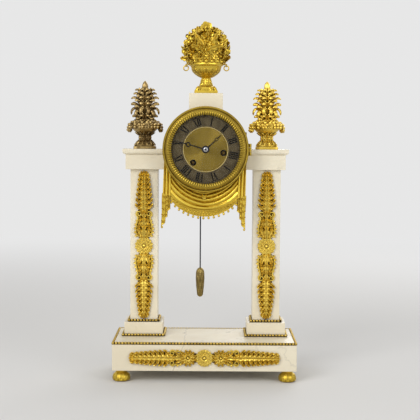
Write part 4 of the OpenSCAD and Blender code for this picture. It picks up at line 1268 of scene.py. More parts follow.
@dataclass
class BeadTrims(Work):
    """Rows of gilt beads round the plinth, the blocks and the shafts."""

    radius: float = 2.2
    pitch: float = 4.35
    wire: float = 1.75
    out: float = 3.0
    inset: float = 1.3
    lift: float = 0.3

    def build(self) -> None:
        """Threads the beads along their paths."""
        self._row("plinth_beads", [self._loop(*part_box("base_bead_trim"))], "base_bead_trim")
        loops = []
        grow = Vector((self.out, self.out, 0.0)) * MM
        for side in Side:
            for part in ("block", "shaft"):
                low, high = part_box(f"{side.name.lower()}_column_{part}")
                top = Vector((high.x, high.y, low.z + self.out * MM))
                loops.append(self._loop(low - grow, top + grow))
        self._row("column_beads", loops, "column_bead_trims")

    def _loop(self, low: Vector, high: Vector) -> list[Vector]:
        """Gives a bead path inside a box, in metres.

        Args:
            low: the box's lowest corner.
            high: its highest corner.

        Returns:
            The path's four corners.
        """
        inset = self.inset * MM
        z = (low.z + high.z) / 2 + self.lift * MM
        x0, x1, y0, y1 = low.x + inset, high.x - inset, low.y + inset, high.y - inset
        return [Vector((x0, y0, z)), Vector((x1, y0, z)), Vector((x1, y1, z)), Vector((x0, y1, z))]

    def _row(self, name: str, loops: list[list[Vector]], node: str) -> None:
        """Makes one piece of beads from closed loops.

        Args:
            name: name of the piece.
            loops: corners of each path.
            node: the node that the beads stand for.
        """
        points = [p for loop in loops for p in loop]
        edges = [(4 * n + k, 4 * n + (k + 1) % 4) for n in range(len(loops)) for k in range(4)]
        mesh = bpy.data.meshes.new(name)
        mesh.from_pydata(points, edges, [])
        sizes = {"Pitch": self.pitch * MM, "Radius": self.radius * MM, "Wire": self.wire * MM}
        self.foundry.piece(name, mesh, self.finish.trim, "ormolu", stands_for=(node,),
                           tree=self.foundry.beads, values=sizes)


class Chaser:
    """Lays leaves flush on an upright turned body."""

    def __init__(self, node: str, axis: Vector) -> None:
        """Takes the body to chase.

        Args:
            node: the body's node.
            axis: foot of its axis, in millimetres.
        """
        self.skin = skin_of(node)
        self.axis = axis
        self.cast = Cast()

    def reach(self, height: float) -> float:
        """Finds the body's skin.

        Args:
            height: millimetres above the foot of the axis.

        Returns:
            How far out the skin is there, in millimetres.
        """
        out, afar, slim = Vector((0.6, -0.8, 0.0)), 60.0, 5.0
        hit = self.skin.ray_cast((self.axis + afar * out + height * UP) * MM, -out)[0]
        return (hit / MM - self.axis).to_2d().length if hit else slim

    def band(self, low: float, high: float, count: int, relief: float, shift: float = 0.0) -> None:
        """Lays one row of leaves.

        Args:
            low: height of their roots, in millimetres.
            high: height of their tips.
            count: leaves in the row.
            relief: how far they stand proud.
            shift: steps by which the row is turned.
        """
        fill, sunk = 1.25, 0.1
        for k in range(count):
            def shape(v: float, s: float) -> Point:
                """Gives a point of the leaf.

                Args:
                    v: share of the length, from the root.
                    s: share of the width, -1 to 1.

                Returns:
                    The point and its recess.
                """
                half, lean, rise, dark = leaf_form(v, s)
                height = lerp(low, high, min(v + lean, 1.0))
                turn = 2 * math.pi * (k + shift + fill * s * half) / count
                r = self.reach(height) + relief * rise - sunk
                return Vector((r * math.cos(turn), r * math.sin(turn), height)), dark
            self.cast.lens(shape, 12, 4, Matrix.Translation(self.axis))


class Carver:
    """The motions that the flat gilt mounts share, in a mount's own plane."""

    tilt: float = 4.0
    thin: float = 0.8

    def __init__(self, node: str, turn: float = 0.0) -> None:
        """Takes the mount to carve.

        Args:
            node: the node that the mount stands for.
            turn: degrees that the mount is turned.
        """
        spot, (_, high) = middle(node), box_mm(node)
        self.home = on_front(spot.x, spot.z, -high.y, turn)
        self.plane = self.home
        self.cast, self.shade = Cast(), Cast()

    def halves(self) -> Iterator[int]:
        """Turns the plane to one half of the mount, then the other.

        Yields:
            1 for the first half, -1 for the other.
        """
        for half in (1, -1):
            self.plane = self.home @ turn_by(0 if half > 0 else 180)
            yield half

    def put(self, motif: Motif, x: float, y: float, z: float, turn: float, size: Row,
            tilt: float = 0.0) -> None:
        """Puts a motif in the mount's plane.

        Args:
            motif: which motif.
            x: millimetres across.
            y: millimetres along.
            z: millimetres above the back.
            turn: degrees anticlockwise.
            size: width, length and depth in millimetres.
            tilt: degrees that the tip lifts.
        """
        here = Matrix.Translation((x, y, z)) @ turn_by(turn) @ turn_by(tilt, "X")
        self.cast.put(motif, self.plane @ here, *size)

    def wreath(self, motif: Motif, y: float, z: float, count: int, start: float, size: Row,
               shift: float = 0.0) -> None:
        """Lays a ring of motifs that point outwards.

        Args:
            motif: which motif.
            y: millimetres along to the ring's middle.
            z: millimetres above the back.
            count: motifs in the ring.
            start: radius at which they begin.
            size: width, length and depth of each.
            shift: steps by which the ring is turned.
        """
        for k in range(count):
            turn = 360 * (k + shift) / count
            a = math.radians(turn)
            self.put(motif, -start * math.sin(a), y + start * math.cos(a), z, turn, size, self.tilt)

    def rosette(self, radius: float, petals: int) -> None:
        """Lays a rosette of two rows of petals round a ringed button.

        Args:
            radius: its radius, in millimetres.
            petals: petals in the outer row.
        """
        self.wreath(Motif.PETAL, 0, 0.9, petals, 0.42 * radius, (0.56 * radius, 0.6 * radius, 1.6))
        self.wreath(Motif.PETAL, 0, 1.7, 9, 0.22 * radius, (0.42 * radius, 0.44 * radius, 1.5), shift=0.5)
        plate, rim, button = 0.84 * radius, 0.37 * radius, 0.3 * radius
        # The plate behind the petals and the button under the ring are marked recessed: painted shade there.
        self.cast.lathe([(plate, 0.0, 0.6), (plate, 1.3, 0.6), (1.0, 1.5, 0.6)], 24, self.home)
        section = [(rim, 1.6), (rim, 2.8), (0.33 * radius, 3.2), (0.28 * radius, 2.8), (0.28 * radius, 1.6)]
        self.cast.ring(section, 20, self.home)
        self.cast.lathe([(button, 1.4, 1.0), (button, 2.3, 1.0), (0.5, 2.4, 1.0)], 20, self.home)
        self.put(Motif.BERRY, 0, 0, 2.0, 0.0, (0.34 * radius, 0.34 * radius, 2.6))

    def spray(self, start: float, end: float, lobes: int, wide: Row) -> None:
        """Lays a tapering spray: blunt lobes either side of a spine of leaves.

        Args:
            start: where the first lobes grow out.
            end: where the tip leaf ends.
            lobes: lobes on each side.
            wide: half-width of the spray at its start and its end.
        """
        tip_room = 6.0
        step = (end - start - tip_room) / lobes
        for k in range(lobes):
            t = k / (lobes - 1)
            y, turn = start + step * k, lerp(58, 40, t)
            out = lerp(wide[0], wide[1], t ** 1.3)
            long = (out - 1.0) / math.sin(math.radians(turn))
            tip = y + (long - 3.2) * math.cos(math.radians(turn))
            for sign in SIGNS:
                self.put(Motif.LEAF, sign, y, 0.9, -sign * turn, (0.92 * step, long, 2.4), 5.0)
                self.put(Motif.PETAL, sign * (out - 3.0), tip, 1.2, -sign * (turn - 24), (4.0, 4.6, 2.4), 8.0)
            self.put(Motif.LEAF, 0, y - 4.0, 1.9, 0, (0.92 * out, 2.0 * step, 2.0), 5.0)
        for turn, long in ((-26, 9.6), (26, 9.6), (0, 10.6)):
            height = 1.5 if turn else 2.2
            self.put(Motif.LEAF, 0, end - long, height, turn, (0.7 * wide[1], long, 2.0), 2.0)

    def pairs(self, petals: Sequence[Row], petal: Row, leaves: Sequence[Sequence[object]]) -> None:
        """Lays petals along a pair of scrolls, and leaves between them.

        Args:
            petals: across, along and turn of each petal on one side.
            petal: width, length and depth of a petal.
            leaves: across, along, height, turn and size of each leaf on one side.
        """
        for sign in SIGNS:
            for x, y, turn in petals:
                self.put(Motif.PETAL, sign * x, y, 1.2, -sign * turn, petal, self.tilt)
            for x, y, z, turn, size in leaves:
                self.put(Motif.LEAF, sign * x, y, z, -sign * turn, size, self.tilt)

    def ground(self, outline: Sequence[Row]) -> None:
        """Adds the thin dark ground that shows between the leaves: a dark sheet that paints the shade in the
        gaps.
        """
        rows = [(x, y) for x, y in outline] + [(-x, y) for x, y in reversed(outline)]
        self.shade.prism(rows + [(-x, -y) for x, y in rows], 0.0, self.thin, self.home)

    def scroll(self, stem: Sequence[Row], eye: Row, coil: float, thick: float) -> None:
        """Lays a pair of scroll bands that end in volutes.

        Args:
            stem: points across and along, up to the volute.
            eye: middle of the volute.
            coil: radius at which the volute starts.
            thick: half-width of the band.
        """
        for sign in SIGNS:
            path = [Vector((sign * x, y, 1.3)) for x, y in (along(stem, k / 9) for k in range(10))]
            for k in range(16):
                a, r = math.radians(-70 + 32 * k), lerp(coil, 0.32 * coil, k / 15)
                x, y = eye[0] + r * math.cos(a), eye[1] + r * math.sin(a)
                path.append(Vector((sign * x, y, 1.4 + 0.05 * k)))
            radii = [thick * lerp(0.55, 1.0, min(k / 8, 1.0)) * lerp(1.0, 0.7, k / 25) for k in range(26)]
            self.cast.sweep(path, radii, UP, 6, 1.1, self.plane)

    def finish(self, foundry: Foundry, name: str, node: str) -> None:
        """Makes the gilt piece that stands for the node, and its dark ground of painted shade."""
        foundry.casting(name, self.cast, foundry.finishes.gilt, stands_for=(node,))
        foundry.casting(name + "_ground", self.shade, foundry.finishes.heart)


@dataclass
class ColumnMount(Work):
    """The tall mount on one column."""

    side: Side
    overhang: float = 2.4
    work: Carver = field(init=False)

    def build(self) -> None:
        """Carves both halves of the mount about its rosette."""
        node = f"{self.side.name.lower()}_column_mount"
        self.work = work = Carver(node)
        work.rosette(12.6, 14)
        low, high = box_mm(node)
        for half in work.halves():
            self._bracket()
            end = (high.z - low.z) / 2 + (self.overhang if half > 0 else 0.0)
            work.spray(50.5, end, 7, (12.8, 7.6))
        work.ground([(6.0, 9.0), (9.5, 15.0), (10.4, 22.0), (9.4, 31.0), (7.0, 38.0), (8.6, 46.0),
                     (8.0, 54.0), (9.0, 62.0), (8.0, 76.0), (6.0, 90.0), (3.4, 99.0)])
        work.finish(self.foundry, node + "_carved", node)

    def _bracket(self) -> None:
        """Lays the scrolled bracket between the rosette and the spray."""
        work = self.work
        stem = ((4.0, 12.8), (8.6, 13.8), (11.0, 18.0), (11.4, 24.0), (10.6, 30.0), (9.0, 36.0), (8.4, 40.6))
        work.scroll(stem, (7.0, 45.0), 4.4, 1.5)
        petals = ((9.0, 14.6, 104), (10.4, 18.6, 78), (10.6, 23.6, 66), (10.0, 28.6, 52), (8.6, 33.6, 44))
        leaves = ((1.8, 11.0, 1.1, 22, (7.8, 16.5, 2.2)), (2.6, 17.0, 1.0, 36, (6.4, 11.0, 2.2)),
                  (6.8, 13.4, 0.8, 4, (6.0, 17.0, 2.0)), (6.6, 24.0, 0.7, -2, (5.4, 13.0, 2.0)),
                  (3.4, 30.5, 1.0, 12, (5.4, 12.5, 2.2)), (1.2, 25.0, 1.1, 24, (7.0, 14.5, 2.2)),
                  (0.8, 41.0, 1.2, 20, (5.4, 13.0, 2.2)))
        work.pairs(petals, (3.8, 4.0, 2.0), leaves)
        for y, wide, long in ((10.5, 9.0, 19.0), (23.0, 9.0, 17.0), (35.0, 7.4, 16.0)):
            work.put(Motif.LEAF, 0, y, 1.8, 0, (wide, long, 2.2), work.tilt)


@dataclass
class PlinthMount(Work):
    """The long mount on the front of the plinth."""

    node: str = "base_mount"
    flower: float = 22.4
    end: float = 104.0
    work: Carver = field(init=False)

    def build(self) -> None:
        """Carves both halves of the mount about its rosette."""
        self.work = work = Carver(self.node, 90.0)
        work.rosette(11.8, 16)
        for _ in work.halves():
            work.wreath(Motif.LEAF, self.flower, 0.9, 12, 3.4, (6.2, 8.8, 2.4), 0.5)
            work.wreath(Motif.PETAL, self.flower, 1.9, 8, 1.8, (4.2, 5.2, 1.8), 0.5)
            work.put(Motif.BERRY, 0, self.flower, 2.6, 0, (3.4, 3.4, 2.4))
            self._collar()
            work.spray(47.5, self.end, 8, (11.8, 8.0))
        work.ground([(5.0, 8.0), (7.6, 15.0), (9.0, 22.0), (7.0, 31.0), (5.0, 35.0), (8.0, 44.0), (8.0, 58.0),
                     (8.2, 72.0), (6.8, 87.0), (3.6, 98.0)])
        work.finish(self.foundry, "plinth_mount_carved", self.node)

    def _collar(self) -> None:
        """Lays the scrolled collar from which the leaf spray grows."""
        work = self.work
        stem = ((3.0, 30.8), (7.0, 32.0), (9.0, 35.0), (9.0, 38.0), (8.4, 40.0))
        work.scroll(stem, (7.0, 43.8), 4.0, 1.4)
        leaves = ((1.6, 31.0, 1.1, 34, (6.0, 10.5, 2.2)), (0.8, 38.5, 1.2, 20, (5.4, 13.0, 2.2)))
        work.pairs(((7.0, 32.4, 84), (8.4, 36.2, 66)), (3.6, 3.8, 2.0), leaves)
        for y in (30.5, 38.0):
            work.put(Motif.LEAF, 0, y, 1.8, 0, (7.6, 14.0, 2.0), work.tilt)


@dataclass
class Drapery(Work):
    """The gilt swag under the dial and its two hanging tails."""

    corner_drop: float = 71.0
    drop: float = 93.0
    half_width: float = 46.3
    seat: float = 55.4
    hem: float = 0.26
    band: float = 0.38
    folds: float = 5.0
    askew: float = -1.6
    sprigs: int = 22
    drops: int = 15
    boss: float = -66.0
    fold_angle: float = 75.0
    tail: tuple[float, float] = (45.8, 57.4)
    crease: float = -65.7
    home: Matrix = field(init=False)
    back: float = field(init=False)

    def build(self) -> None:
        """Models the swag and the tails."""
        self.home = on_front(0, middle("drum_case").z, 0, self.askew)
        self.back = -box_mm("drapery_swag")[1].y
        self._swag()
        cast = Cast()
        for side in Side:
            self._tail(cast, side.value)
        self.foundry.casting("tails_draped", cast, self.finish.soft_gilt, stands_for=("drapery_tails",),
                             crease=self.fold_angle)

    @property
    def hem_radius(self) -> float:
        """Radius of the hem's curve."""
        sag = self.drop - self.corner_drop
        return (self.half_width ** 2 + sag ** 2) / (2 * sag)

    def _hem(self, x: float) -> float:
        """Gives the hem's height at x, from the dial centre."""
        r = self.hem_radius
        return r - self.drop - math.sqrt(max(r * r - x * x, 0.0))

    def _spot(self, x: float, y: float, out: float) -> Matrix:
        """Gives a place on the drapery, that far in front of its back."""
        return self.home @ Matrix.Translation((x, y, self.back + out))

    def _cloth(self, v: float, s: float) -> Point:
        """Gives a point of the swag.

        Args:
            v: share of the height, from the hem.
            s: share of the half-width, -1 to 1.

        Returns:
            The point and its recess.
        """
        down = 1 - v
        rim = lerp(1 - self.hem, 0.86, abs(s) ** 1.5)
        if v < self.hem:
            squeeze = lerp(1.0, rim, v / self.hem)
        else:
            squeeze = rim * (down / (1 - self.hem)) ** lerp(0.9, 1.9, abs(s) ** 1.3)
        x = s * self.half_width
        top = -math.sqrt(max(self.seat ** 2 - x * x, 0.0))
        y = lerp(top, self._hem(x), squeeze)
        calm = 1 - 0.35 * abs(s) ** 4
        # The hem's middle, the hollows of the band and the valleys of the folds are marked recessed: painted
        # shade in the folds.
        if v < self.hem:
            edge = min(v, self.hem - v) / self.hem
            lip = 0.7 if edge < 0.09 else 0.0
            return Vector((x, y, self.back + 3.2 + lip)), 0.0 if lip else 0.45
        if v <= self.band:
            share = (v - self.hem) / (self.band - self.hem)
            swell = 0.75 * math.sin(math.pi * share) + 0.25 * abs(math.sin(2 * math.pi * share + 1.5 * s))
            return Vector((x, y, self.back + 2.6 + 1.9 * swell * calm)), max(0.0, 0.8 - 2.2 * swell)
        into = down / (1 - self.band)
        ridge = abs(math.sin(math.pi * (into ** 0.75 * self.folds + 0.1 * math.sin(4 * s + 5 * down)))) ** 0.7
        return Vector((x, y, self.back + 1.7 + 2.9 * ridge * calm)), max(0.0, 0.75 - 1.5 * ridge)

    def _swag(self) -> None:
        """Models the swag with its embossed hem and its row of drops."""
        cast = Cast()
        cast.sheet(self._cloth, 110, 52, 1.2, self.home)
        for k in range(self.sprigs):
            x = lerp(-0.93, 0.93, k / (self.sprigs - 1)) * self.half_width
            slope = math.degrees(math.atan2(self._hem(x + 0.5) - self._hem(x - 0.5), 1.0))
            tall = lerp(4.6, 2.6, abs(x) / self.half_width)
            for lean in (32, 148):
                at = self._spot(x, self._hem(x) + tall, 3.1) @ turn_by(slope + math.copysign(lean, x))
                cast.put(Motif.LEAF, at, 3.2, tall, 0.8)
        r = self.hem_radius
        for k in range(self.drops):
            x = r * math.sin(lerp(-0.96, 0.96, k / (self.drops - 1)) * math.asin(self.half_width / r))
            y = self._hem(x)
            cast.put(Motif.BERRY, self._spot(x, y - 2.1, 2.4) @ turn_by(90, "X"), 3.5, 3.5, 3.7)
            stalk = [Vector((x, y + rise, self.back + 2.4)) for rise in (0.6, -0.9)]
            cast.sweep(stalk, [0.6, 0.5], UP, 6, at=self.home)
        boss = self._spot(0, self.boss, 3.8)
        cast.put(Motif.FLOWER, boss, 6.0, 6.0, 2.0)
        for turn in (-75, -40, 40, 75):
            cast.put(Motif.BLADE, boss @ turn_by(turn), 2.4, 6.0, 1.2)
        self.foundry.casting("swag_draped", cast, self.finish.soft_gilt, stands_for=("drapery_swag",),
                             crease=self.fold_angle)

    def _tail(self, cast: Cast, sign: int) -> None:
        """Models one tail: hanging pleats over a cascade of three tongues.

        Args:
            cast: takes the sheets, the sprigs and the ball at the tip.
            sign: which side it hangs on.
        """
        inner, outer = self.tail

        def pleats(v: float, s: float) -> Point:
            """Gives a point of the pleats.

            Args:
                v: share of the height, from the hem.
                s: share of the width, -1 to 1.

            Returns:
                The point and its recess.
            """
            across = (s * sign + 1) / 2
            x = sign * lerp(inner, outer - 0.6 * v, across)
            top = -math.sqrt(max((self.seat + 0.4) ** 2 - x * x, 0.0)) if abs(x) < self.seat else -10.0
            # The pleats' valleys are marked recessed: painted shade in the folds.
            ridge = abs(math.sin(math.pi * (across * 2.5 + 0.05))) ** 0.6
            place = Vector((x, lerp(self.crease, min(top, -10.0), v), self.back + 2.0 + 2.4 * ridge))
            return place, max(0.0, 0.8 - 1.7 * ridge)
        cast.sheet(pleats, 12, 30, 1.2, self.home)

        steps = ((inner + 0.2, 53.6, -84.0, -90.0), (49.4, 56.2, -94.5, -100.0), (52.4, 58.2, -103.5, -108.6))
        for k, (a, b, near, far) in enumerate(steps):
            def tongue(v: float, s: float) -> Point:
                """Gives a point of the tongue.

                Args:
                    v: share of the height, from the hem.
                    s: share of the width, -1 to 1.

                Returns:
                    The point and its recess.
                """
                across = (s * sign + 1) / 2
                x = sign * (lerp(a, b, across) + 0.3 * math.sin(7 * v + k))
                round_off = 1 - abs(2 * across - 1) ** 4
                hem = 0.45 if v < 0.05 or 0.11 < v < 0.15 else 0.0
                place = Vector((x, lerp(lerp(near, far, across), self.crease + 1.2 + 2.5 * across, v),
                                self.back + 1.3 + 1.1 * k + 1.5 * round_off + hem))
                # The tongue's inner edge is marked more recessed: painted shade along the step between the
                # tongues.
                return place, (0.75 if across < 0.12 else 0.25) * (1 - 2 * hem)
            cast.sheet(tongue, 24, 10, 1.1, self.home)
            for step in range(5):
                y = lerp(self.crease - 3, lerp(near, far, 0.4) + 2.5, step / 4)
                for turn in (-42, 42):
                    at = self._spot(sign * lerp(a, b, 0.5), y, 2.6 + 1.1 * k) @ turn_by(turn)
                    cast.put(Motif.LEAF, at, 3.0, 4.4, 0.9)
        tip = self._spot(sign * 57.0, -109.4, 2.6) @ turn_by(90, "X")
        cast.put(Motif.BERRY, tip, 3.2, 3.2, 3.4)


@dataclass
class DialFace(Work):
    """Numerals, minute track and rims of the dial, and the ribbed band of the bezel."""

    turn: float = 18.0
    numeral: tuple[float, float] = (33.4, 44.4)
    stroke: float = 1.9
    hairline: float = 0.6
    serif: float = 0.55
    side_room: float = 1.1
    serif_room: float = 0.1
    stroke_proud: float = 0.07
    serif_proud: float = 0.075
    names: tuple[str, ...] = ("XII", "I", "II", "III", "IIII", "V", "VI", "VII", "VIII", "IX", "X", "XI")
    spread: dict[str, float] = field(default_factory=lambda: {"I": 2.6, "V": 5.4, "X": 5.6})
    sunk: float = -0.02
    proud: float = 0.06
    circles: tuple[float, float] = (44.9, 46.6)
    line: float = 0.22
    minutes: int = 60
    track: float = 45.8
    eye: float = 0.58
    ribs: int = 100
    rib_reach: float = 51.8
    rib_out: float = 38.0
    centre: Vector = field(init=False)
    face: float = field(init=False)

    def build(self) -> None:
        """Makes the dial's raised and inked work."""
        self.centre = middle("chapter_ring")
        self.face = -box_mm("chapter_ring")[0].y
        self._numerals()
        self._track()
        self._rims()
        self._hub()
        self._ribs()

    def _at(self, out: float, turn: float = 0.0) -> Matrix:
        """Gives the dial's centre at a distance towards the front, in millimetres."""
        return on_front(self.centre.x, self.centre.z, out, turn)

    def _circle(self, count: int, radius: float, out: float) -> dict[str, object]:
        """Gives the ring tree's values for a circle round the dial's centre."""
        centre = (self.centre.x * MM, -out * MM, self.centre.z * MM)
        return {"Count": count, "Radius": radius * MM, "Centre": centre}

    def _numerals(self) -> None:
        """Inks the twelve numerals, their feet towards the centre."""
        cast = Cast()
        home = self._at(self.face, self.turn)
        for hour, name in enumerate(self.names):
            at = home @ turn_by(-30 * hour)
            x = -sum(self.spread[letter] for letter in name) / 2
            for letter in name:
                self._letter(cast, letter, x, x + self.spread[letter], at)
                x += self.spread[letter]
        self.foundry.casting("dial_numerals", cast, self.finish.ink, slot="silvered_ring")

    def _letter(self, cast: Cast, letter: str, left: float, right: float, at: Matrix) -> None:
        """Draws one letter between two edges.

        Args:
            cast: takes the strokes.
            letter: I, V or X.
            left: left edge, in millimetres from the numeral's middle.
            right: right edge.
            at: the numeral's place, with the ring's radius along y.
        """
        low, high = self.numeral
        a, b, mid = left + self.side_room, right - self.side_room, (left + right) / 2
        bars = {"I": [(mid, mid, self.stroke)],
                "V": [(mid, a, self.stroke), (mid, b, self.hairline)],
                "X": [(b, a, self.stroke), (a - 0.3, b + 0.3, self.hairline)]}[letter]
        for foot, head, wide in bars:
            h = wide / 2
            outline = [(foot - h, low), (foot + h, low), (head + h, high), (head - h, high)]
            cast.prism(outline, self.sunk, self.stroke_proud, at)
        for y in ((low, high) if letter != "V" else (high,)):
            h = self.serif / 2
            x0, x1 = left + self.serif_room, right - self.serif_room
            cast.prism([(x0, y - h), (x1, y - h), (x1, y + h), (x0, y + h)], self.sunk, self.serif_proud, at)

    def _track(self) -> None:
        """Inks the minute track: two circles and sixty bars."""
        circles, home = Cast(), self._at(self.face)
        for near in self.circles:
            far = near + self.line
            section = [(near, self.sunk), (far, self.sunk), (far, self.proud), (near, self.proud)]
            circles.ring(section, 96, home)
        self.foundry.casting("minute_circles", circles, self.finish.ink, slot="silvered_ring")
        bar = Cast()
        bar.bar(0.8, 0.16, self.sunk, self.proud)
        self.foundry.piece("minute_bars", bar.mesh("minute_bars"), self.finish.ink, "silvered_ring",
                           tree=self.foundry.rings, values=self._circle(self.minutes, self.track, self.face))

    def _rims(self) -> None:
        """Turns the rim of the dial's centre and the collars of the winding holes."""
        rim, holes = Cast(), Cast()
        front = -box_mm("dial_plate")[0].y
        section = [(31.4, -0.6), (31.4, 0.3), (31.0, 0.75), (30.4, 0.75), (29.9, 0.3), (29.8, -0.1)]
        rim.ring(section, 96, self._at(front))
        for node in ("going_arbor", "strike_arbor"):
            spot = middle(node)
            holes.ring([(4.3, -0.1), (4.3, 0.1), (3.9, 0.22), (3.0, 0.1), (2.9, -0.6)], 32,
                       on_front(spot.x, spot.z, front))
        self.foundry.casting("dial_rims", rim, self.finish.bright)
        self.foundry.casting("winding_collars", holes, self.finish.ink, slot="blued_steel")

    def _hub(self) -> None:
        """Turns the washer and the cap over the hands, and the ring on the minute hand's eye."""
        cap, washer = Cast(), Cast()
        at = self._at(-box_mm("minute_hand")[0].y)
        washer.ring([(5.2, -0.3), (5.2, 0.2), (4.6, 0.6), (3.2, 0.6), (3.1, -0.2)], 32, at)
        cap.lathe([(3.4, -0.3, 0), (3.4, 0.7, 0), (3.0, 1.3, 0), (2.0, 1.6, 0), (1.4, 1.6, 0)], 28, at)
        washer.bar(1.1, 1.1, 1.4, 2.4, at)
        tip = max((Vector((v.co.x / MM - self.centre.x, v.co.z / MM - self.centre.z, 0))
                   for v in frame["nodes"]["minute_hand"].data.vertices), key=lambda p: p.length)
        washer.ring([(1.9, -1.1), (3.4, -1.1), (3.2, -0.5), (2.1, -0.5)], 28,
                    at @ Matrix.Translation(self.eye * tip))
        self.foundry.casting("hand_washer", washer, self.finish.blued, body="centre_arbor",
                             slot="blued_steel")
        self.foundry.casting("hand_cap", cap, self.finish.steel, body="centre_arbor", slot="steel")

    def _ribs(self) -> None:
        """Sets the ribs over the inner side of the bezel's rounded band."""
        rib = Cast()
        curve = [(1.85, 2.3), (1.1, 2.8), (0.0, 3.0), (-1.2, 3.05), (-2.4, 3.0), (-3.6, 2.85), (-4.7, 2.6)]
        radii = [0.5, 0.95, 1.2, 1.25, 1.2, 1.05, 0.6]
        rib.sweep([Vector((x, 0, y)) for x, y in curve], radii, Vector((0, 1, 0)), 6, 1.05)
        self.foundry.piece("bezel_ribs", rib.mesh("bezel_ribs"), self.finish.bezel, "ormolu", "bezel",
                           tree=self.foundry.rings,
                           values=self._circle(self.ribs, self.rib_reach, self.rib_out))


@dataclass
class BackDoor(Work):
    """Turned mouldings and the knob's cap on the drum's back door."""

    node: str = "back_door"
    mouldings: tuple[Triple, ...] = ((0.80, 1.7, 1.1), (0.50, 1.3, 0.8))

    def build(self) -> None:
        """Turns two mouldings, a boss and a cap for the knob."""
        centre, (low, high) = middle("drum_case"), box_mm("drum_case")
        cast, at = Cast(), self._at(centre.x, self._face(centre), centre.z)
        for share, wide, tall in self.mouldings:
            r = share * (high.z - low.z) / 2
            section = [(-1.0, -0.2), (1.0, -0.2), (0.8, 0.4 * tall), (0.3, tall), (-0.3, tall),
                       (-0.8, 0.4 * tall)]
            cast.ring([(r + out * wide, height) for out, height in section], 96, at)
        # The boss's groove and the knob's root are marked recessed: painted shade there.
        cast.lathe([(9.5, -0.2, 0.5), (9.2, 0.5, 0.0), (7.6, 0.9, 0.7), (6.8, 1.0, 0.7), (5.6, 1.7, 0.0),
                    (2.4, 2.2, 0.0), (0.3, 2.3, 0.0)], 40, at)
        knob, back = self._knob(), box_mm(self.node)[1].y
        cast.lathe([(3.1, -1.6, 0.7), (4.0, -1.0, 0.0), (4.3, 0.0, 0.0), (3.7, 1.0, 0.0), (2.0, 1.5, 0.0),
                    (0.3, 1.6, 0.0)], 28, self._at(knob.x, back - 1.4, knob.z))
        self.foundry.casting("back_door_turning", cast, self.finish.bezel, body=self.node)

    @staticmethod
    def _at(x: float, y: float, z: float) -> Matrix:
        """Gives a place that faces the back, in millimetres."""
        return Matrix.Translation((x, y, z)) @ turn_by(-90, "X")

    def _face(self, centre: Vector) -> float:
        """Gives how far back the door's skin is behind the dial's centre, in millimetres."""
        behind = Vector((centre.x, 500.0, centre.z))
        return skin_of(self.node).ray_cast(behind * MM, Vector((0, -1, 0)))[0].y / MM

    def _knob(self) -> Vector:
        """Finds the knob.

        Returns:
            The middle of its end, in millimetres.
        """
        places = [v.co for v in frame["nodes"][self.node].data.vertices]
        back = max(place.y for place in places)
        end = [place for place in places if place.y > back - 0.1 * MM]
        return sum(end, Vector()) / len(end) / MM


@dataclass
class Growth(Work):
    """Work whose motifs grow round an upright axis."""

    axis: Vector = field(init=False)
    cast: Cast = field(init=False)

    def _put(self, motif: Motif, bearing: float, reach: float, height: float, lean: float,
             size: Row) -> None:
        """Puts a motif round the axis.

        Args:
            motif: which motif.
            bearing: degrees round the axis.
            reach: millimetres out from the axis.
            height: millimetres above the foot.
            lean: degrees that the tip leans out.
            size: width, length and depth in millimetres.
        """
        self.cast.put(motif, round_axis(self.axis, bearing, reach, height, lean), *size)


